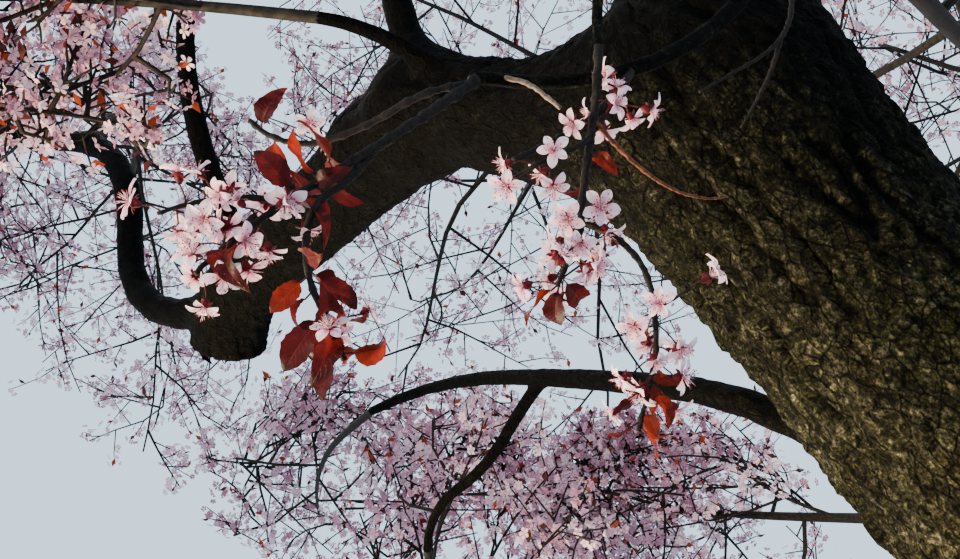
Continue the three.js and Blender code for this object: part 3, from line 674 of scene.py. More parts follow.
def relief_of(sizes, places):
    """The height, furrow, plate and painted shade at places in a limb's own space."""
    radius = radius_along(sizes, np.clip(places[:, 2] / sizes["length"], 0, 1))
    depth = np.clip(radius / FULL_RELIEF_RADIUS, 0.02, 1.1)
    scale = np.clip(1.7 - depth, 1, 1.7)
    relief = np.array([bark_height(*place) for place in (places * scale[:, None]).tolist()])
    relief[:, 0] *= depth
    return np.column_stack([relief, np.interp(radius, *SLIM_PAINTED_SHADE)])


def add_relief(sizes, group, points):
    """Moves points out by the relief, mixed near a neighbour. Also returns the bark's own measures."""
    total = np.zeros(len(points))
    measures = np.zeros((len(points), 4))
    normals = np.zeros((len(points), 3))
    own_place = None
    for other in group:
        gap, share = nearest_on(other, points)
        row = np.arange(len(points)) if other is sizes else np.nonzero(gap < SHARED)[0]
        if not len(row):
            continue
        place, normal = bark_place(other, share[row], points[row])
        weight = np.exp(-np.clip(gap[row], -0.2, 0.2) / SHARED_FADE)
        total[row] += weight
        measures[row] += relief_of(other, place) * weight[:, None]
        normals[row] += normal * weight[:, None]
        if other is sizes:
            own_place = place
    measures /= total[:, None]
    normals = unit(normals)
    return points + normals * measures[:, :1], np.column_stack([own_place, measures[:, 1:]])


def limb_rings(sizes):
    """Each ring's place along the limb, its share of the radius, and how far it lies past the tip."""
    if sizes["name"] == "trunk":
        low = np.arange(-FOOT_DEPTH, SEEN_FROM, COARSE_RING)
        places = np.concatenate([low, np.arange(SEEN_FROM, sizes["length"], sizes["ring"])])
    else:
        places = np.arange(-sizes["sunk"], sizes["length"], sizes["ring"])
    places = np.append(places[places < sizes["length"] - sizes["ring"] / 2], sizes["length"])
    if sizes["name"] == SAWN_LIMB:
        shares, past = np.array(SAWN_FACE).T
    else:
        count = max(int(sizes["tip"] * 1.57 / sizes["ring"]), 3)
        turn = np.linspace(0, np.pi / 2, count + 1)[:-1]
        shares, past = np.cos(turn), sizes["tip"] * np.sin(turn)
    straight = np.ones(len(places) - 1)
    return (np.append(places[:-1], np.full(len(past), sizes["length"])), np.append(straight, shares),
            np.append(0 * straight, past))


def limb_surface(sizes, limbs, swellings):
    """A limb's points, the faces that show, its last ring, and the bark's own measures at each point."""
    places, shares, past = limb_rings(sizes)
    share = np.clip(places / sizes["length"], 0, 1)
    centre, along, side = frame_at(sizes, share)
    centre = centre + along * (places - share * sizes["length"] + past)[:, None]
    other = np.cross(side, along)
    angle = np.arange(sizes["sides"]) * 2 * np.pi / sizes["sides"]
    flat = side[:, None] * np.sin(angle)[None, :, None] + other[:, None] * np.cos(angle)[None, :, None]
    radius = np.repeat((radius_along(sizes, share) * shares)[:, None], sizes["sides"], axis=1)
    if sizes["name"] == "trunk":
        flare = ROOT_FLARE * np.exp(-np.clip(places, 0, None) / ROOT_FLARE_HEIGHT)
        lobes = 1 + ROOT_LOBE_SHARE * np.cos(ROOT_LOBES * angle + ROOT_LOBE_TURN)
        radius *= 1 + flare[:, None] * lobes[None]
    points = (centre[:, None] + flat * radius[:, :, None]).reshape(-1, 3)
    rounded = 0 if sizes["name"] == SAWN_LIMB else np.sqrt(1 - shares ** 2)[:, None, None]
    outward = unit(flat * (1 - rounded) + along[:, None] * rounded).reshape(-1, 3)
    group = group_of(sizes, limbs)
    knots = [knot for knot in swellings if any(knot["limb"] == member["name"] for member in group)]
    points, covered = joined_surface(sizes, group, knots, points, outward)
    points, measures = add_relief(sizes, group, points)
    points -= outward * np.clip(covered - OVERLAP, 0, BURIED)[:, None] * 0.6
    number = np.arange(len(points)).reshape(-1, sizes["sides"])
    quads = ring_faces(number)[:, ::-1]
    shown = (covered[quads] < OVERLAP + BURIED).any(axis=1)
    return points, quads[shown], number[-1], measures


def capped(points, ring, measures):
    """A middle point that closes a limb's last ring, with the fan of faces to it."""
    middle = points[ring].mean(axis=0)
    fan = np.stack([ring, np.roll(ring, -1), np.full(len(ring), len(points))], axis=-1)
    return np.vstack([points, middle]), fan, np.vstack([measures, measures[ring].mean(axis=0)])


def bark_piece(name, names, limbs, swellings, material):
    """One mesh with bark relief for several limbs, which replaces their solids."""
    parts, measured = [], []
    for limb_name in names:
        points, quads, ring, measures = limb_surface(limbs[limb_name], limbs, swellings)
        points, fan, measures = capped(points, ring, measures)
        points[:, 2] = np.maximum(points[:, 2], 0)
        used = np.unique(np.concatenate([quads.ravel(), fan.ravel()]))
        renumbered = np.zeros(len(points), dtype=int)
        renumbered[used] = np.arange(len(used))
        parts.append((points[used], [renumbered[quads], renumbered[fan]]))
        measured.append(measures[used])
    vertices, faces = joined(parts)
    piece = new_piece(name, vertices, faces, material)
    measures = np.concatenate(measured)
    add_attribute(piece, "bark_place", "FLOAT_VECTOR", measures[:, :3])
    for k, measure in enumerate(("furrow", "plate", "shade")):
        add_attribute(piece, measure, "FLOAT", measures[:, 3 + k])
    stands_for(piece, names)


# The growth rule, for every twig of a kind at once

def prepare_masses(limbs):
    """The spaces of the crown as arrays."""
    heading = np.array([m["heading"] for m in MASSES], dtype=float)
    rise = np.array([m["rise"] for m in MASSES], dtype=float)
    along = direction_of(heading, rise)
    across = direction_of(heading + 90, rise * 0)
    halves = np.array([m["halves"] for m in MASSES])
    start = np.array([limbs[m["limb"]]["route"][-1] for m in MASSES])
    return dict(
        axes=np.stack([along, across, np.cross(along, across)], axis=1), halves=halves,
        along=halves[:, 0], least=halves.min(axis=1), start=start,
        low=np.array(cad_box[0]), high=np.array(cad_box[1]),
        centre=start + along * halves[:, :1] * CENTRE_SHARE,
        tip=np.array([limbs[m["limb"]]["tip"] for m in MASSES]),
        last=np.array([heading_at(limbs[m["limb"]]["route"], 1) for m in MASSES]))


def shares_from(space, points):
    """How far points are from each space's centre, where 1 is its surface."""
    offset = points[:, None, :] - space["centre"][None]
    local = np.einsum("nmk,mak->nma", offset, space["axes"]) / space["halves"][None]
    return np.linalg.norm(local, axis=2)


def held(space, mass_of, points, clearance):
    """Whether points are inside their own mass, nearer to it than to the others, and in the box."""
    shares = shares_from(space, points)
    row = np.arange(len(points))
    own = shares[row, mass_of]
    inside = own + clearance / space["least"][mass_of] <= 1
    needed = clearance * (1 / space["least"][mass_of][:, None] + 1 / space["least"][None])
    gap = shares - own[:, None]
    gap[row, mass_of] = np.inf
    in_box = (points > space["low"] - BOX_MARGIN) & (points < space["high"] + BOX_MARGIN)
    return inside & in_box.all(axis=1) & (gap > needed).all(axis=1)


def clear_of_limbs(segments, points, clearance):
    """Whether points keep their distance from every limb."""
    clear = np.ones(len(points), dtype=bool)
    starts, steps, radii = segments
    for a, step, radius in zip(starts, steps, radii):
        offset = points - a
        share = np.clip(offset @ step / (step @ step), 0, 1)
        clear &= np.linalg.norm(offset - share[:, None] * step, axis=1) >= radius + clearance
    return clear


def limb_segments(limbs):
    """The starts, the steps and the radii of all limbs' short straight pieces."""
    starts = np.concatenate([sizes["route"][:-1] for sizes in limbs.values()])
    steps = np.concatenate([np.diff(sizes["route"], axis=0) for sizes in limbs.values()])
    share = np.arange(ROUTE_STEPS) / ROUTE_STEPS
    return starts, steps, np.concatenate([radius_along(sizes, share) for sizes in limbs.values()])


def run_is_free(space, segments, mass_of, a, b, clearance):
    """Whether each straight run from a to b stays in its space and clear of the limbs."""
    count = np.ceil(np.linalg.norm(b - a, axis=1) / RUN_TEST_STEP).astype(int)
    free = np.ones(len(a), dtype=bool)
    for k in range(1, count.max(initial=1) + 1):
        share = np.minimum(k / np.maximum(count, 1), 1)
        tried = np.nonzero(free)[0]
        points = mix(a[tried], b[tried], share[tried, None])
        free[tried] = (held(space, mass_of[tried], points, clearance)
                       & clear_of_limbs(segments, points, clearance))
    return free


def grown(space, segments, mass_of, start, direction, length, steps, keys, clearance=TWIG_CLEARANCE):
    """Twigs that sway and are drawn upwards. One that meets the edge of its space bends back or stops."""
    points = [start]
    heading = direction
    free = np.ones(len(start), dtype=bool)
    reached = np.zeros(len(start), dtype=int)
    for k in range(steps):
        sway = scattered(*keys, k, first=1) + [0, 0, LIFT]
        heading = unit(heading + SWAY * sway)
        ahead = points[-1] + heading * (length / steps)[:, None]
        tried = np.nonzero(free)[0]
        open_ahead = run_is_free(space, segments, mass_of[tried], points[-1][tried], ahead[tried],
                                 clearance)
        bent = tried[~open_ahead]
        free[tried] = open_ahead
        if len(bent):
            inward = unit(space["centre"][mass_of[bent]] - points[-1][bent])
            heading[bent] = unit(heading[bent] + TURN_BACK * inward)
            ahead[bent] = points[-1][bent] + heading[bent] * (length / steps)[bent, None]
            free[bent] = run_is_free(space, segments, mass_of[bent], points[-1][bent], ahead[bent],
                                     clearance)
        points.append(np.where(free[:, None], ahead, points[-1]))
        reached += free
    return np.stack(points, axis=1), reached


def grow_stems(space):
    """The stem of each mass, which goes on from its limb and bends to the middle of its space."""
    direction = space["last"]
    points = [space["start"]]
    for _ in range(STEM["steps"]):
        direction = unit(mix(direction, space["axes"][:, 0], STEM["bend"]))
        points.append(points[-1] + direction * (space["along"] * STEM["reach"] / STEM["steps"])[:, None])
    return np.stack(points, axis=1)


def grow_twigs(space, segments, stems):
    """The twigs round each mass's stem."""
    full = np.minimum(space["along"] / TWIG["full_at"], 1)
    counts = np.maximum(np.round(TWIG["count"] * full), TWIG["fewest"]).astype(int)
    number = np.repeat(np.arange(len(MASSES)), counts)
    k = np.concatenate([np.arange(count) for count in counts])
    share = mix(TWIG["start"], TWIG["end"], (k + TWIG["shift"] * drawn(number, k, 11)) / counts[number])
    angle = mix(TWIG["angle"], TWIG["angle_at_tip"], share)
    angle = angle + TWIG["angle_spread"] * (drawn(number, k, 12) - 0.5)
    turn = GOLDEN_ANGLE * k + 360 * drawn(number, 13)
    stem_steps = np.full(len(number), STEM["steps"])
    start, along = lines_at(stems[number], stem_steps, share)
    spread = 1 + TWIG["reach_spread"] * (drawn(number, k, 14) - 0.5)
    length = space["along"][number] * mix(TWIG["reach"], TWIG["reach_at_tip"], share) * spread
    direction = branch_directions(along, angle, turn)
    points, reached = grown(space, segments, number, start, direction, length, TWIG["steps"],
                            [number, k, 15])
    foot = space["tip"][number] * mix(TWIG["foot"], TWIG["foot_at_tip"], share)
    kept = reached > 0
    return dict(points=points[kept], reached=reached[kept], mass=number[kept], foot=foot[kept],
                keys=[number[kept], k[kept]])


def grow_along(space, segments, twigs, rule, first_key):
    """The twigs of the next kind along each twig."""
    row, j = [x.ravel() for x in np.mgrid[0:len(twigs["points"]), 0:rule["count"]]]
    number = twigs["mass"][row]
    keys = [key[row] for key in twigs["keys"]] + [first_key + j]
    share = mix(rule["start"], rule["end"], (j + 0.5) / rule["count"])
    angle = rule["angle"] + rule["angle_spread"] * drawn(*keys, 1)
    turn = GOLDEN_ANGLE * j + rule["turn_spread"] * drawn(*keys, 2)
    start, along = lines_at(twigs["points"][row], twigs["reached"][row], share)
    spread = 1 + rule["reach_spread"] * (drawn(*keys, 3) - 0.5)
    base = twigs.get("length", space["along"][twigs["mass"]])[row]
    length = base * mix(rule["reach"], rule["reach_at_tip"], share) * spread
    direction = branch_directions(along, angle, turn)
    points, reached = grown(space, segments, number, start, direction, length, rule["steps"], keys + [4],
                            rule.get("clearance", TWIG_CLEARANCE))
    kept = reached > 0
    return dict(points=points[kept], reached=reached[kept], mass=number[kept], length=length[kept],
                keys=[key[kept] for key in keys])


# Twig meshes

def twig_tubes(twigs, count, sides, foot, tip):
    """Tubes along grown twigs, on smooth curves."""
    lines = smooth_lines(twigs["points"], twigs["reached"], count)
    share = np.linspace(0, 1, count)[None]
    foot = np.broadcast_to(np.asarray(foot, dtype=float), (len(lines),))[:, None]
    radii = mix(foot, tip, share ** 0.8)
    return tubes(lines, radii, sides)


# Flowers and leaves

def turned(vertices, angle):
    """Vertices turned about z."""
    c, s = np.cos(angle), np.sin(angle)
    return vertices @ np.array([[c, s, 0], [-s, c, 0], [0, 0, 1.0]])


def turned_copies(template, count):
    """A template repeated evenly round its own z."""
    vertices, faces = template
    return joined([(turned(vertices, 2 * np.pi * k / count), faces) for k in range(count)])


def petal_rows(openness, rows):
    """The rows of a plain petal: each has a share of the petal's length and half its width."""
    tilt = math.radians(openness)
    points = []
    for share, width in rows:
        y = share * math.cos(tilt * (1 - 0.4 * share))
        z = share * math.sin(tilt * (1 - 0.4 * share))
        points += [[width, y, z + width * 0.2], [-width, y, z + width * 0.2]] if width else [[0, y, z]]
    return np.array(points)


def unseen_flower(openness):
    """Five petals of one face each."""
    petal = petal_rows(openness, ((0.0, 0), (1.0, 0.42)))
    return turned_copies((petal, [np.array([[0, 1, 2]])]), PETALS)


def far_flower(openness):
    """Five petals of two faces each."""
    petal = petal_rows(openness, ((0.05, 0), (0.7, 0.36), (1.03, 0)))
    return turned_copies((petal, [np.array([[0, 1, 2], [1, 3, 2]])]), PETALS)


def close_flower(openness):
    """Five petals of a four-sided face between two triangles."""
    petal = petal_rows(openness, ((0.04, 0), (0.48, 0.24), (0.84, 0.27), (1.02, 0)))
    return turned_copies((petal, [np.array([[0, 1, 2], [3, 5, 4]]), np.array([[1, 3, 4, 2]])]), PETALS)


def petal_half_width(share):
    """Half the width of a petal at a share of its length, in lengths: a claw, then a round blade."""
    blade = min(max((share - 0.16) / 0.84, 0), 1)
    return 0.028 + 0.25 * max(math.sin(math.pi * blade ** 1.2), 0) ** 0.7


def fine_petal(openness, key):
    """A petal's points, its faces, and each point's share of the length and place across."""
    across = np.linspace(-1, 1, FINE_COLUMNS)
    points, measures = [], []
    for share in FINE_ROWS:
        width = petal_half_width(share)
        tilt = math.radians(openness) * (1.15 - 0.9 * share)
        y, z = share * math.cos(tilt), share * math.sin(tilt)
        for a in across:
            notch = 0.05 * max(share - 0.85, 0) / 0.15 * (1 - abs(a)) ** 2
            cup = 0.30 * width * a * a
            ruffle = 0.035 * share * math.sin(a * 4 + key * 2.1) + 0.02 * share * math.sin(a * 9 + key)
            points.append([a * width, y - notch - 0.04 * share * a * a, z + cup + ruffle])
            measures.append([a, share, key])
    number = np.arange(len(points)).reshape(-1, FINE_COLUMNS)
    return np.array(points), [sheet_faces(number)], np.array(measures)


def fine_flower(openness):
    """Five petals that differ a little, and their points' own measures."""
    parts, measures = [], []
    for k in range(PETALS):
        tilt = openness + OPENNESS_SPREAD * math.sin(k * 2.3 + openness)
        points, faces, own = fine_petal(tilt, k + openness)
        angle = 2 * np.pi * k / PETALS + 0.13 * math.sin(k * 4.1 + openness)
        size = 1 + 0.07 * math.sin(k * 3.3 + openness)
        parts.append((turned(size * points, angle), faces))
        measures.append(own)
    return joined(parts), np.concatenate(measures)


def stamens():
    """Filaments and anthers, as two meshes."""
    k = np.arange(STAMENS)
    angle = np.radians(GOLDEN_ANGLE * k)
    tilt = np.radians(28 + 46 * drawn(901, k, 1))
    length = 0.48 + 0.32 * drawn(901, k, 2)
    out = np.stack([np.cos(angle) * np.cos(tilt), np.sin(angle) * np.cos(tilt), np.sin(tilt)], axis=1)
    ends = out * length[:, None] + [0, 0, 0.05]
    middles = out * length[:, None] * 0.5 + [0, 0, 0.09]
    lines = np.stack([out * 0.06, middles, ends], axis=1)
    radii = np.full(lines.shape[:2], FILAMENT_RADIUS)
    ball = ANTHER_RADIUS * np.array([[1, 0, 0], [-1, 0, 0], [0, 1, 0], [0, -1, 0], [0, 0, 1], [0, 0, -1]])
    faces = [[0, 2, 4], [2, 1, 4], [1, 3, 4], [3, 0, 4], [2, 0, 5], [1, 2, 5], [3, 1, 5], [0, 3, 5]]
    frames = np.broadcast_to(np.eye(3), (STAMENS, 3, 3))
    return tubes(lines, radii, 3), placed((ball, [np.array(faces)]), ends, frames, np.ones(STAMENS))


def calyx():
    """A cup behind the petals with five pointed sepals."""
    cup = []
    for z, r in CUP_RINGS:
        turn = np.arange(CUP_SIDES) * 2 * np.pi / CUP_SIDES
        cup.append(np.stack([r * np.cos(turn), r * np.sin(turn), np.full(CUP_SIDES, z)], axis=1))
    number = np.arange(len(CUP_RINGS) * CUP_SIDES).reshape(-1, CUP_SIDES)
    sepal = np.array([[-0.10, 0.15, -0.03], [0.10, 0.15, -0.03], [0.12, 0.34, -0.12], [0, 0.52, -0.26],
                      [-0.12, 0.34, -0.12]])
    sepals = turned_copies((sepal, [np.array([[0, 1, 2, 4]]), np.array([[4, 2, 3]])]), PETALS)
    return joined([(np.concatenate(cup), [ring_faces(number)]), sepals])


def leaf_blade(rows, columns, fold, curl):
    """A pointed oval blade along y, folded at its midrib and curled back at its tip."""
    across = np.linspace(-1, 1, columns)
    points, measures = [], []
    for share in np.linspace(0, 1, rows):
        width = 0.285 * math.sin(math.pi * share ** 0.9) ** 0.62 + 0.004
        bend = curl * share * share
        for a in across:
            teeth = 1 + 0.06 * math.sin(share * 70) * abs(a)
            quilt = 0.012 * math.sin(share * 44 - abs(a) * 6) * (1 - abs(a))
            roll = 0.05 * math.sin(share * 9 + fold * 8) * a * abs(a)
            points.append([a * width * teeth * (1 - 0.18 * fold), share * math.cos(bend) * 0.98,
                           -share * math.sin(bend) + abs(a) * width * fold + quilt + roll])
            measures.append([a, share, fold])
    number = np.arange(rows * columns).reshape(rows, columns)
    return np.array(points), [sheet_faces(number)], np.array(measures)


FAR_LEAF = (np.array([[0, 0, 0], [0.24, 0.45, 0.08], [0, 1, 0], [-0.24, 0.45, 0.08]]),
            [np.array([[0, 1, 2], [0, 2, 3]])])


def seen(points):
    """Whether points are within the photograph's frame, and how far off they are."""
    pitch = math.radians(CAMERA_PITCH)
    offset = points - np.array(CAMERA_PLACE)
    forward = offset @ np.array([0, math.sin(pitch), -math.cos(pitch)])
    up = offset @ np.array([0, math.cos(pitch), math.sin(pitch)])
    half = PICTURE_MARGIN * SENSOR / 2 / CAMERA_LENS
    beside = np.abs(offset[:, 0]) < half * forward
    inside = (forward > NEAREST_SEEN) & beside & (np.abs(up) < half * PICTURE_SHAPE * forward)
    return inside, np.linalg.norm(offset, axis=1)


def spots_along(twigs, kind, first_key):
    """Spots on each twig: the keys of each, its place and the twig's heading there."""
    row, j = [x.ravel() for x in np.mgrid[0:len(twigs["points"]), 0:kind["spots"]]]
    keys = [key[row] for key in twigs["keys"]] + [first_key + j]
    share = mix(kind["start"], kind["end"], (j + 0.9 * drawn(*keys, 1)) / kind["spots"])
    place, along = lines_at(twigs["points"][row], twigs["reached"][row], share)
    return keys, place, along


def crown_blossom(twigs):
    """Where the crown's flowers are: their centres, facings, sizes, tints and levels of detail."""
    keys, place, along = spots_along(twigs, BLOSSOM, 60)
    inside, distance = seen(place)
    number, c = [x.ravel() for x in np.mgrid[0:len(place), 0:BLOSSOM["cluster"]]]
    most = np.where(inside & (distance < SEEN_CLOSE), BLOSSOM["cluster_close"], BLOSSOM["cluster"])
    bare = inside & (distance < THINNED_WITHIN) & (drawn(*keys, 13) < THINNED_SHARE)
    most = np.where(bare, 0, most)
    kept = c < most[number]
    number, c = number[kept], c[kept]
    spot_keys = [key[number] for key in keys]
    keys = spot_keys + [c]
    turn = 360 * drawn(*spot_keys, 3) + 360 * c / BLOSSOM["cluster"]
    angle = BLOSSOM["angle"] + BLOSSOM["angle_spread"] * drawn(*keys, 2)
    direction = branch_directions(along[number], angle, turn)
    stalk = BLOSSOM["stalk"] * (1 + BLOSSOM["spread"] * (drawn(*keys, 12) - 0.5))
    centre = place[number] + direction * stalk[:, None]
    facing = unit(direction + BLOSSOM["tangle"] * scattered(*keys, first=4))
    inside, distance = inside[number], distance[number]
    size = np.where(inside, BLOSSOM["seen"], BLOSSOM["unseen"]) * (
        1 + BLOSSOM["size_spread"] * (drawn(*keys, 7) - 0.5))
    # The tint, whose deeper steps are partly painted shade, is dealt out by twig, and a few flowers on each
    # take the one beside it.
    tints = len(PETAL_TINTS_AND_SHADES)
    tint = np.floor(drawn(*spot_keys[:-1], 8) * tints * 0.999 + 0.8 * (drawn(*keys, 9) - 0.5))
    level = np.where(inside, np.where(distance < SEEN_CLOSE, 2, 1), 0)
    return dict(centre=centre, facing=facing, size=size, level=level,
                tint=tint.clip(0, tints - 1).astype(int), spin=6.28 * drawn(*keys, 10),
                kind=(drawn(*keys, 11) * len(OPENNESS)).astype(int))


def flower_parts(flowers, chosen, templates):
    """Copies of each shape of flower at the chosen places."""
    parts = []
    for k, template in enumerate(templates):
        row = np.nonzero(chosen & (flowers["kind"] == k))[0]
        if len(row):
            frames = frames_facing(flowers["facing"][row], flowers["spin"][row])
            parts.append(placed(template, flowers["centre"][row], frames, flowers["size"][row]))
    return parts


# Near twigs, with flowers and leaves of the real size

def near_twig_lines(limbs):
    """Every near twig's own line and sizes, by its spray and number or by its name."""
    made = {}
    for spray in NEAR_SPRAYS:
        for k, twig in enumerate(spray["twigs"]):
            parent = made[(spray["name"], twig["parent"])]["route"] if k else limbs[spray["limb"]]["route"]
            start = point_at(parent, twig["at"] if k else 1)
            made[(spray["name"], k)] = dict(twig, route=route_of(twig, start))
    for twig in BARE_TWIGS:
        if "limb" in twig:
            parent = limbs[twig["limb"]]["route"]
        else:
            key = twig["parent"] if isinstance(twig["parent"], tuple) else (twig["parent"], 0)
            parent = made[key]["route"]
        made[(twig["name"], 0)] = dict(twig, route=route_of(twig, point_at(parent, twig["at"])))
    return made


def near_twig_tube(twig, key):
    """A knobbly tube: thin twigs swell at each old bud."""
    count = max(int(twig["length"] / NEAR_TWIG["ring"]), 12)
    lines = smooth_lines(twig["route"][None], np.array([ROUTE_STEPS]), count)
    share = np.linspace(0, 1, count)
    place = share * twig["length"]
    k = np.arange(count)
    buds = np.sin(place * 2 * np.pi / NEAR_TWIG["bud_spacing"] + 6 * drawn(key, 5))
    knots = NEAR_TWIG["bud_swell"] * np.maximum(buds, 0) ** 4
    uneven = NEAR_TWIG["roughness"] * (drawn(key, k, 6) - 0.5)
    radii = mix(twig["foot"], twig["tip"], share) * (1 + knots + uneven)
    wobble = scattered(key, k, first=7) * NEAR_TWIG["wobble"]
    return tubes(lines + wobble[None], radii[None], NEAR_TWIG["sides"])


def bloom_places(groups, near_twigs, kind, first_key):
    """The root, the direction and the length of each near bloom."""
    roots, directions, lengths, keys = [], [], [], []
    for g, (name, index, start, end, count, lift, size) in enumerate(groups):
        twig = near_twigs[(name, index)]
        for k in range(count):
            key = (first_key, g, k)
            share = mix(start, end, (k + 0.8 * drawn(*key, 1)) / max(count, 1))
            along = heading_at(twig["route"], min(share, 0.999))[None]
            turn = GOLDEN_ANGLE * k + 60 * drawn(*key, 2)
            opening = 0 if name == HALF_OPEN else 55 + 40 * drawn(*key, 3)
            direction = branch_directions(along, np.array([opening]), np.array([turn]))[0]
            direction = unit(direction + [0, 0, lift])
            roots.append(point_at(twig["route"], share))
            directions.append(direction)
            lengths.append(size * kind["length"] * (1 + kind["spread"] * (drawn(*key, 4) - 0.5)))
            keys.append(first_key * 10000 + g * 100 + k)
    return np.array(roots), np.array(directions), np.array(lengths), np.array(keys)


def near_flowers(near_twigs):
    """The near flowers' petals with their measures, stamens, anthers, cups and stalks."""
    roots, directions, lengths, keys = bloom_places(NEAR_FLOWERS, near_twigs, NEAR_PEDICEL, 71)
    middles = roots + directions * (lengths * 0.5)[:, None] + [0, 0, NEAR_PEDICEL["arch"]]
    half_open = np.repeat([group[0] == HALF_OPEN for group in NEAR_FLOWERS],
                          [group[4] for group in NEAR_FLOWERS])
    turning = NEAR_FLOWER["tangle"] * scattered(keys, first=1) + TOWARD_VIEWER
    facing = unit(directions + turning * ~half_open[:, None])
    ends = roots + directions * lengths[:, None]
    centres = ends + facing * NEAR_FLOWER["base"] * FLOWER_RADIUS
    stalks = tubes(smooth_lines(np.stack([roots, middles, ends], axis=1), np.full(len(roots), 2), 5),
                   np.full((len(roots), 5), NEAR_PEDICEL["radius"]), 5)
    frames = frames_facing(facing, 6.28 * drawn(keys, 4))
    size = FLOWER_RADIUS * (NEAR_FLOWER["least"] + NEAR_FLOWER["size_spread"] * drawn(keys, 5))
    usual = len(NEAR_OPENNESS) - 1
    kind = np.where(half_open, usual, (drawn(keys, 6) * usual).astype(int))
    threads, balls = stamens()
    petals, measures, filaments, anthers = [], [], [], []
    for k, openness in enumerate(NEAR_OPENNESS):
        row = kind == k
        template, own = fine_flower(openness)
        petals.append(placed(template, centres[row], frames[row], size[row]))
        own = np.tile(own, (row.sum(), 1))
        own[:, 2] = np.repeat(drawn(keys[row], 7), len(template[0]))
        measures.append(own)
        filaments.append(placed(threads, centres[row], frames[row], size[row]))
        anthers.append(placed(balls, centres[row], frames[row], size[row]))
    cups = placed(calyx(), centres, frames, size)
    return joined(petals), np.concatenate(measures), joined(filaments), joined(anthers), cups, stalks


def near_leaves(near_twigs):
    """The near leaves in two tints with their measures, and their stalks."""
    roots, directions, lengths, keys = bloom_places(NEAR_LEAVES, near_twigs, NEAR_LEAF, 72)
    bases = roots + directions * NEAR_LEAF["petiole"]
    stalks = tubes(np.stack([roots, mix(roots, bases, 0.5), bases], axis=1),
                   np.full((len(roots), 3), NEAR_LEAF["radius"]), 4)
    frames = frames_along(directions, scattered(keys, first=1))
    tints = []
    for tint in range(len(NEAR_LEAF_TINTS)):
        parts, measures = [], []
        for k, (fold, curl) in enumerate(NEAR_LEAF_SHAPES):
            row = ((np.floor(drawn(keys, 7) * len(NEAR_LEAF_TINTS)) == tint)
                   & (np.floor(drawn(keys, 8) * len(NEAR_LEAF_SHAPES)) == k))
            if row.any():
                points, faces, own = leaf_blade(NEAR_LEAF["rows"], NEAR_LEAF["columns"], fold, curl)
                parts.append(placed((points, faces), bases[row], frames[row], lengths[row]))
                measures.append(np.tile(own, (row.sum(), 1)))
        tints.append((joined(parts), np.concatenate(measures)))
    return tints, stalks


# Materials

def node_material(name):
    """A new material with its nodes, its links and its output."""
    material = bpy.data.materials.new(name)
    material.use_nodes = True
    tree = material.node_tree
    tree.nodes.clear()
    output = tree.nodes.new("ShaderNodeOutputMaterial")
    shader = tree.nodes.new("ShaderNodeBsdfPrincipled")
    tree.links.new(shader.outputs["BSDF"], output.inputs["Surface"])
    shader.inputs["Specular IOR Level"].default_value = 0.12
    return material, tree, shader, output


def node(tree, kind, inputs, output=0, **settings):
    """A new node's output. Its inputs are given by name or number, as sockets or as values."""
    made = tree.nodes.new("ShaderNode" + kind)
    for name, value in settings.items():
        setattr(made, name, value)
    for name, value in inputs.items():
        if isinstance(value, bpy.types.NodeSocket):
            tree.links.new(value, made.inputs[name])
        else:
            made.inputs[name].default_value = value
    return made.outputs[output]


def object_place(tree):
    return node(tree, "TexCoord", {}, "Object")


def attribute_node(tree, name, output):
    return node(tree, "Attribute", {}, output, attribute_name=name)


def noise_node(tree, place, scale, detail=4, roughness=0.6, output="Fac"):
    inputs = {"Vector": place, "Scale": scale, "Detail": detail, "Roughness": roughness}
    return node(tree, "TexNoise", inputs, output)


def voronoi_node(tree, place, feature, scale, output):
    return node(tree, "TexVoronoi", {"Vector": place, "Scale": scale}, output, feature=feature)


def math_node(tree, kind, a, b):
    return node(tree, "Math", {0: a, 1: b}, operation=kind)


def colour_of(value):
    """A socket as it is, or three numbers as a colour."""
    return value if isinstance(value, bpy.types.NodeSocket) else (*value, 1)


def mix_node(tree, kind, factor, a, b):
    """Mixes two colours. The factor and either colour may be a socket or a value."""
    inputs = {0: factor, 6: colour_of(a), 7: colour_of(b)}
    return node(tree, "Mix", inputs, 2, data_type="RGBA", blend_type=kind)


def ramp_node(tree, value, stops):
    """A colour ramp through (place, colour) stops, where a colour is three numbers or one grey."""
    made = tree.nodes.new("ShaderNodeValToRGB")
    elements = made.color_ramp.elements
    while len(elements) < len(stops):
        elements.new(0.5)
    for element, (place, colour) in zip(elements, stops):
        element.position = place
        element.color = colour_of(colour if isinstance(colour, tuple) else (colour,) * 3)
    tree.links.new(value, made.inputs["Fac"])
    return made.outputs["Color"]


def add_bump(tree, shader, height, strength, distance):
    """Gives a shader fine relief."""
    inputs = {"Height": height, "Strength": strength, "Distance": distance}
    tree.links.new(node(tree, "Bump", inputs, "Normal"), shader.inputs["Normal"])


def stretched(tree, place, scale):
    return node(tree, "Mapping", {"Vector": place, "Scale": scale}, "Vector")


def warped(tree, place, scale, amount):
    """A place moved a little by noise, so that cells get uneven edges."""
    shift = noise_node(tree, place, scale, 3, 0.5, "Color")
    return node(tree, "VectorMath", {0: shift, 1: (amount,) * 3, 2: place}, "Vector",
                operation="MULTIPLY_ADD")


def height_share(tree, low, high):
    """0 below one height and 1 above another."""
    height = node(tree, "SeparateXYZ", {"Vector": object_place(tree)}, "Z")
    return node(tree, "MapRange", {"Value": height, "From Min": low, "From Max": high}, "Result")


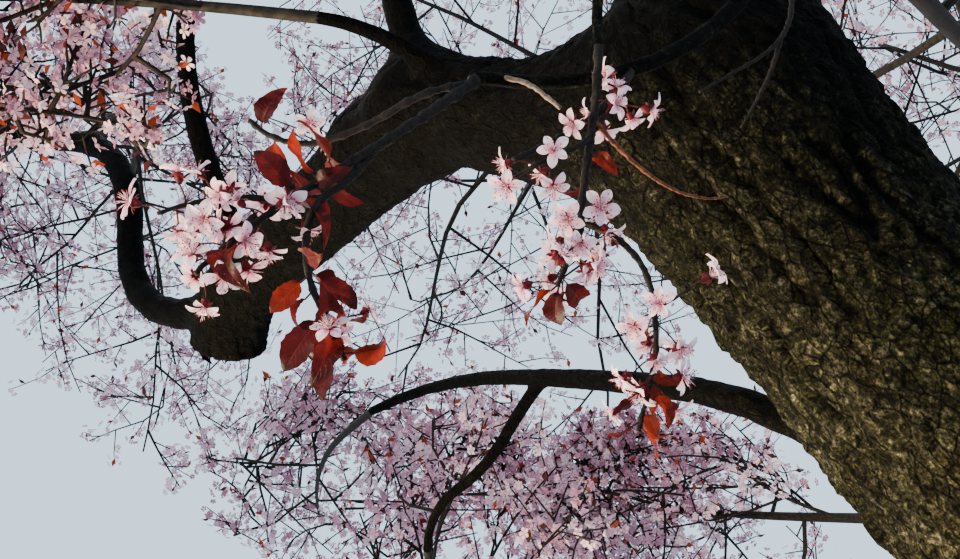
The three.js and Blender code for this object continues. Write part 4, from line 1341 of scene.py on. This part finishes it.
def bark_material():
    """Rough bark: olive-brown plates and scales, moss, worn patches and specks of lichen, with painted
    shade in the furrows and the cracks, and on high and slim limbs.
    """
    material, tree, shader, _ = node_material("bark")
    place = attribute_node(tree, "bark_place", "Vector")
    long = warped(tree, stretched(tree, place, (1, 1, 0.62)), 60, 0.009)
    short = warped(tree, stretched(tree, place, (1, 1, 0.8)), 160, 0.003)
    gaps = ramp_node(tree, voronoi_node(tree, long, "DISTANCE_TO_EDGE", 60, "Distance"),
                     [(0.0, 0), (0.09, 0.8), (0.3, 1)])
    broken = ramp_node(tree, noise_node(tree, place, 26, 4), [(0.40, 1.0), (0.50, 0.0)])
    gaps = mix_node(tree, "LIGHTEN", 1.0, gaps, broken)
    chips = ramp_node(tree, voronoi_node(tree, short, "DISTANCE_TO_EDGE", 180, "Distance"),
                      [(0.0, 0), (0.22, 1)])
    cell = voronoi_node(tree, short, "F1", 180, "Color")
    chance = node(tree, "SeparateColor", {"Color": cell}, "Red")
    plates = ramp_node(tree, noise_node(tree, long, 55, 9, 0.72),
                       [(0.36, BARK_DARK), (0.5, BARK_MIDDLE), (0.66, BARK_LIGHT)])
    colour = mix_node(tree, "MULTIPLY", 1.0, plates,
                      ramp_node(tree, chance, [(0.0, 0.6), (0.7, 1.05), (0.9, 1.5), (1.0, 2.2)]))
    patches = ramp_node(tree, noise_node(tree, long, 7, 3), [(0.5, 0), (0.68, 0.6)])
    # Moss and the tan worn patches are darker at the scales' edges: painted shade in the fine cracks.
    colour = mix_node(tree, "MIX", patches, colour, mix_node(tree, "MULTIPLY", 0.7, MOSS, chips))
    worn = ramp_node(tree, noise_node(tree, place, 13, 6), [(0.56, 0), (0.72, 0.5)])
    colour = mix_node(tree, "MIX", worn, colour, mix_node(tree, "MULTIPLY", 0.8, BARK_TAN, chips))
    # Painted shade in the cracks between the plates.
    colour = mix_node(tree, "MULTIPLY", 0.95, colour, ramp_node(tree, gaps, [(0.1, 0.06), (0.7, 1.0)]))
    # Painted shade in the fine cracks between the scales.
    colour = mix_node(tree, "MULTIPLY", 0.6, colour, ramp_node(tree, chips, [(0.0, 0.3), (0.7, 1.1)]))
    # Painted shade where the mesh dips between plates and in its furrows.
    edges = ramp_node(tree, attribute_node(tree, "plate", "Fac"), [(0.0, 0.4), (0.45, 1.0)])
    colour = mix_node(tree, "MULTIPLY", 0.8, colour, edges)
    furrows = ramp_node(tree, attribute_node(tree, "furrow", "Fac"), [(0.1, 1.0), (0.8, 0.2)])
    colour = mix_node(tree, "MULTIPLY", 1.0, colour, furrows)
    flecks = ramp_node(tree, noise_node(tree, place, 230, 3, 0.7),
                       [(0.36, 0.2), (0.5, 0.8), (0.6, 1.8), (0.7, 3.0)])
    colour = mix_node(tree, "MULTIPLY", 1.0, colour, flecks)
    specks = ramp_node(tree, noise_node(tree, place, 62, 6, 0.7), [(0.70, 0), (0.76, 0.7)])
    colour = mix_node(tree, "MIX", specks, colour, LICHEN)
    # Painted shade: the bark darkens high up, toward the crown.
    above = ramp_node(tree, height_share(tree, *PAINTED_SHADE_HEIGHTS), [(0, 1.0), (1, PAINTED_SHADE_DARKEST)])
    colour = mix_node(tree, "MULTIPLY", 1.0, colour, above)
    # Painted shade on the slimmer limbs.
    colour = mix_node(tree, "MULTIPLY", 1.0, colour, attribute_node(tree, "shade", "Fac"))
    tree.links.new(colour, shader.inputs["Base Color"])
    tree.links.new(ramp_node(tree, noise_node(tree, place, 60, 3), [(0.3, 0.7), (0.7, 0.95)]),
                   shader.inputs["Roughness"])
    shader.inputs["Specular IOR Level"].default_value = 0.05
    fine = math_node(tree, "ADD", noise_node(tree, long, 110, 8, 0.8), noise_node(tree, place, 330, 4, 0.7))
    cells = math_node(tree, "ADD", math_node(tree, "MULTIPLY", gaps, 0.7),
                      math_node(tree, "MULTIPLY", chips, 0.22))
    add_bump(tree, shader, math_node(tree, "ADD", fine, cells), 1.0, 0.0085)
    return material


def twig_material(name):
    """Smooth young bark, or another smooth skin, with paler flecks."""
    dark, light, scale = TWIG_SKINS[name]
    material, tree, shader, _ = node_material(name)
    coordinates = object_place(tree)
    colour = ramp_node(tree, noise_node(tree, coordinates, scale, 4), [(0.35, dark), (0.62, light)])
    tree.links.new(colour, shader.inputs["Base Color"])
    shader.inputs["Roughness"].default_value = 0.72
    add_bump(tree, shader, noise_node(tree, coordinates, scale * 3, 3), 0.4, 0.0006)
    return material


def see_through(tree, shader, output, through, glow):
    """Lets a share of the light pass through a thin petal or leaf."""
    thin = node(tree, "BsdfTranslucent", {"Color": colour_of(through)})
    both = node(tree, "MixShader", {0: glow, 1: shader.outputs["BSDF"], 2: thin})
    tree.links.new(both, output.inputs["Surface"])


def leafy_material(name, colour, vein, through, glow, roughness, scale):
    """A thin petal or leaf whose tone varies a little."""
    material, tree, shader, output = node_material(name)
    coordinates = object_place(tree)
    tone = ramp_node(tree, noise_node(tree, coordinates, scale, 3), [(0.3, colour), (0.7, vein)])
    tree.links.new(tone, shader.inputs["Base Color"])
    shader.inputs["Roughness"].default_value = roughness
    add_bump(tree, shader, noise_node(tree, coordinates, scale * 2.5, 3), 0.25, 0.0004)
    see_through(tree, shader, output, through, glow)
    return material


def blade_sockets(tree):
    """A petal's or leaf's own measures: how far across it, along it, and its own chance."""
    place = attribute_node(tree, "blade_place", "Vector")
    across, along, chance = (node(tree, "SeparateXYZ", {"Vector": place}, axis) for axis in "XYZ")
    return math_node(tree, "ABSOLUTE", across, 0.0), along, chance


def petal_material():
    """Pale pink petals, deeper at the claw, with faint lengthwise veins."""
    material, tree, shader, output = node_material("near_petal")
    across, along, chance = blade_sockets(tree)
    colour = ramp_node(tree, along, NEAR_PETAL)
    veins = math_node(tree, "SINE", math_node(tree, "MULTIPLY", across, 26.0), 0.0)
    colour = mix_node(tree, "MULTIPLY", 0.22, colour,
                      ramp_node(tree, veins, [(0.0, 1.0), (0.9, (0.75, 0.35, 0.5))]))
    colour = mix_node(tree, "MULTIPLY", 1.0, colour,
                      ramp_node(tree, chance, [(0.0, (1, 0.86, 0.9)), (0.7, 1.0)]))
    tree.links.new(colour, shader.inputs["Base Color"])
    shader.inputs["Roughness"].default_value = 0.55
    coordinates = object_place(tree)
    add_bump(tree, shader, noise_node(tree, coordinates, 700, 3), 0.3, 0.0004)
    see_through(tree, shader, output, colour, 0.4)
    return material


def leaf_material(name, blade, vein, through):
    """A glossy young leaf with a midrib and side veins."""
    material, tree, shader, output = node_material(name)
    across, along, _ = blade_sockets(tree)
    slant = math_node(tree, "SUBTRACT", math_node(tree, "MULTIPLY", along, 62.0),
                      math_node(tree, "MULTIPLY", across, 15.0))
    side = ramp_node(tree, math_node(tree, "SINE", slant, 0.0), [(0.86, 0), (0.97, 0.6)])
    rib = ramp_node(tree, across, [(0.03, 1.0), (0.09, 0.0)])
    lines = mix_node(tree, "LIGHTEN", 1.0, side, rib)
    coordinates = object_place(tree)
    mottle = ramp_node(tree, noise_node(tree, coordinates, 150, 4), [(0.3, 0.55), (0.7, 1.25)])
    colour = mix_node(tree, "MULTIPLY", 1.0, mix_node(tree, "MIX", lines, blade, vein), mottle)
    tree.links.new(colour, shader.inputs["Base Color"])
    shader.inputs["Roughness"].default_value = 0.42
    relief = math_node(tree, "SUBTRACT", noise_node(tree, coordinates, 500, 3), lines)
    add_bump(tree, shader, relief, 0.5, 0.0006)
    see_through(tree, shader, output, mix_node(tree, "MULTIPLY", 1.0, through, mottle), 0.42)
    return material


# The scene

def foliage_piece(name, vertices, faces, material, slot, nodes):
    """A piece of twigs, leaves or blossom, which replaces the given solids."""
    return stands_for(new_piece(name, vertices, faces, material), nodes)


def build_bark(limbs):
    """The trunk and the boughs in three pieces with bark relief."""
    material = bark_material()
    swellings = []
    for knot in SWELLINGS:
        route = limbs[knot["limb"]]["route"]
        out = direction_of(knot["heading"], knot["rise"])
        swellings.append(dict(knot, centre=point_at(route, knot["at"]) + out * knot["out"]))
    bark_piece("trunk_bark", ["trunk"], limbs, swellings, material)
    arched = ["arched_bough_inner", "arched_bough_sawn_end"]
    bark_piece("arched_bough_bark", arched, limbs, swellings, material)
    left = [name for name in limbs if name not in ["trunk", *arched]]
    bark_piece("bough_bark", left, limbs, swellings, material)


def fine_twig_parts(fine):
    """The finest twigs, which are curved where the photograph shows them and straight elsewhere."""
    inside = seen(fine["points"][:, 0])[0]
    parts = []
    for chosen, rings in ((inside, 3), (~inside, 2)):
        some = dict(points=fine["points"][chosen], reached=fine["reached"][chosen])
        parts.append(twig_tubes(some, rings, 3, FINE_TWIG["foot"], FINE_TWIG["tip"]))
    return joined(parts)


def build_crown(limbs):
    """The masses' stems, twigs, blossom and leaves, each kind joined apart."""
    space = prepare_masses(limbs)
    segments = limb_segments(limbs)
    nodes = [m["name"] for m in MASSES]
    dark_twig = twig_material("twig_bark")
    stems = grow_stems(space)
    twigs = grow_twigs(space, segments, stems)
    side = grow_along(space, segments, twigs, SIDE_TWIG, 20)
    fine = grow_along(space, segments, side, FINE_TWIG, 40)
    stem_lines = smooth_lines(stems, np.full(len(stems), STEM["steps"]), STEM["rings"])
    stem_share = np.linspace(0, 1, STEM["rings"])[:, None]
    stem_radii = mix(space["tip"], space["tip"] * STEM["tip"], stem_share).T
    coarse = joined([
        tubes(stem_lines, stem_radii, 8),
        twig_tubes(twigs, 13, 5, twigs["foot"], TWIG["tip"]),
        twig_tubes(side, 5, 3, SIDE_TWIG["foot"], SIDE_TWIG["tip"]),
    ])
    foliage_piece("crown_twigs", *coarse, dark_twig, "bark", nodes)
    foliage_piece("crown_fine_twigs", *fine_twig_parts(fine), dark_twig, "bark", nodes)
    flowers = crown_blossom(fine)
    shapes = [[shape(o) for o in OPENNESS] for shape in (unseen_flower, far_flower, close_flower)]
    for tint, (colour, vein) in enumerate(PETAL_TINTS_AND_SHADES):
        material = leafy_material(f"petal_{tint}", colour, vein, colour, 0.35, 0.6, 260)
        parts = []
        for level, templates in enumerate(shapes):
            chosen = (flowers["tint"] == tint) & (flowers["level"] == level)
            parts += flower_parts(flowers, chosen, templates)
        foliage_piece(f"crown_blossom_{tint}", *joined(parts), material, "blossom", nodes)
    build_crown_leaves(fine, nodes)


def build_crown_leaves(fine, nodes):
    """The crown's leaves, in two tints."""
    keys, place, along = spots_along(fine, CROWN_LEAF, 80)
    angle = CROWN_LEAF["angle"] + CROWN_LEAF["angle_spread"] * drawn(*keys, 2)
    direction = branch_directions(along, angle, 360 * drawn(*keys, 3))
    size = np.where(seen(place)[0], CROWN_LEAF["seen"], CROWN_LEAF["unseen"]) * (
        1 + CROWN_LEAF["size_spread"] * (drawn(*keys, 4) - 0.5))
    frames = frames_along(direction, scattered(*keys, first=5))
    for tint, (word, colour, vein) in enumerate(LEAF_TINTS):
        row = (drawn(*keys[:-1], 9) * len(LEAF_TINTS)).astype(int) == tint
        material = leafy_material(f"leaf_{word}", colour, vein, vein, 0.4, 0.45, 120)
        made = placed(FAR_LEAF, place[row], frames[row], size[row])
        foliage_piece(f"crown_leaves_{word}", *made, material, "leaf", nodes)


def build_near_sprays(limbs):
    """The near twigs with their flowers and leaves, each kind joined apart."""
    nodes = [spray["name"] for spray in NEAR_SPRAYS]
    lines = near_twig_lines(limbs)
    grey_parts = []
    for number, (key, twig) in enumerate(lines.items()):
        made = near_twig_tube(twig, 500 + number)
        if key[0] in ("tan_twig", "red_twig"):
            foliage_piece(key[0], *made, twig_material(f"{key[0]}_bark"), "bark", nodes)
        else:
            grey_parts.append(made)
    foliage_piece("near_twigs", *joined(grey_parts), twig_material("near_twig_bark"), "bark", nodes)
    petals, petal_places, filaments, anthers, cups, flower_stalks = near_flowers(lines)
    leaf_tints, leaf_stalks = near_leaves(lines)
    thread = leafy_material("stamen_thread", *STAMEN_TINTS, 0.3, 0.5, 300)
    cup = leafy_material("cup_skin", *CUP_TINTS, 0.15, 0.5, 400)
    stalk = twig_material("stalk_skin")
    piece = foliage_piece("near_petals", *petals, petal_material(), "blossom", nodes)
    add_attribute(piece, "blade_place", "FLOAT_VECTOR", petal_places)
    foliage_piece("near_stamens", *filaments, thread, "blossom", nodes)
    foliage_piece("near_anthers", *anthers, twig_material("anther_skin"), "blossom", nodes)
    foliage_piece("near_flower_cups", *cups, cup, "blossom", nodes)
    foliage_piece("near_stalks", *joined([flower_stalks, leaf_stalks]), stalk, "bark", nodes)
    for (word, blade, vein, through), (made, places) in zip(NEAR_LEAF_TINTS, leaf_tints):
        material = leaf_material(f"near_leaf_{word}", blade, vein, through)
        piece = foliage_piece(f"near_leaves_{word}", *made, material, "leaf", nodes)
        add_attribute(piece, "blade_place", "FLOAT_VECTOR", places)


def add_light(kind, sizes, strength, colour, aim):
    """A light that shines along aim."""
    light = bpy.data.lights.new(sizes["name"], kind)
    light.energy = strength
    light.color = colour
    lamp = bpy.data.objects.new(sizes["name"], light)
    lamp.rotation_euler = Vector(aim).to_track_quat("-Z", "Y").to_euler()
    bpy.context.scene.collection.objects.link(lamp)
    return lamp


def build_floor():
    """A pale floor, which isn't part of the tree."""
    bpy.ops.mesh.primitive_cylinder_add(vertices=96, radius=FLOOR_RADIUS, depth=1, location=(0, 0, -0.5))
    floor = bpy.context.object
    floor.name = "floor"
    material, tree, shader, _ = node_material("floor_paint")
    tone = ramp_node(tree, noise_node(tree, object_place(tree), 2, 3), [(0.3, 0.56), (0.7, 0.60)])
    tree.links.new(tone, shader.inputs["Base Color"])
    shader.inputs["Roughness"].default_value = 0.9
    floor.data.materials.append(material)


def build_lights():
    """A pale surround, soft suns and warm lamps under the crown."""
    world = bpy.data.worlds.new("surround")
    world.use_nodes = True
    background = world.node_tree.nodes["Background"]
    background.inputs["Color"].default_value = (*SURROUND, 1)
    background.inputs["Strength"].default_value = SURROUND_STRENGTH
    bpy.context.scene.world = world
    for sun in SUNS:
        aim = -direction_of(sun["heading"], sun["rise"])
        lamp = add_light("SUN", sun, sun["strength"], sun["colour"], aim)
        lamp.data.angle = math.radians(sun["softness"])
    for spot in LAMPS:
        aim = np.array(spot["aim"]) - np.array(spot["place"])
        lamp = add_light("SPOT", spot, spot["power"], LAMP_COLOUR, aim)
        lamp.location = spot["place"]
        lamp.data.spot_size = math.radians(spot["cone"])
        lamp.data.spot_blend = 0.6
        lamp.data.shadow_soft_size = LAMP_RADIUS
        lamp.visible_camera = False


def build_camera():
    """The camera, where the photograph was taken from."""
    camera = bpy.data.cameras.new("camera")
    camera.lens = CAMERA_LENS
    camera.sensor_width = SENSOR
    viewer = bpy.data.objects.new("camera", camera)
    viewer.location = CAMERA_PLACE
    viewer.rotation_euler = (math.radians(CAMERA_PITCH), 0, 0)
    bpy.context.scene.collection.objects.link(viewer)
    bpy.context.scene.camera = viewer


build_floor()
build_lights()
build_camera()
limbs = prepare_limbs()
build_bark(limbs)
build_crown(limbs)
build_near_sprays(limbs)
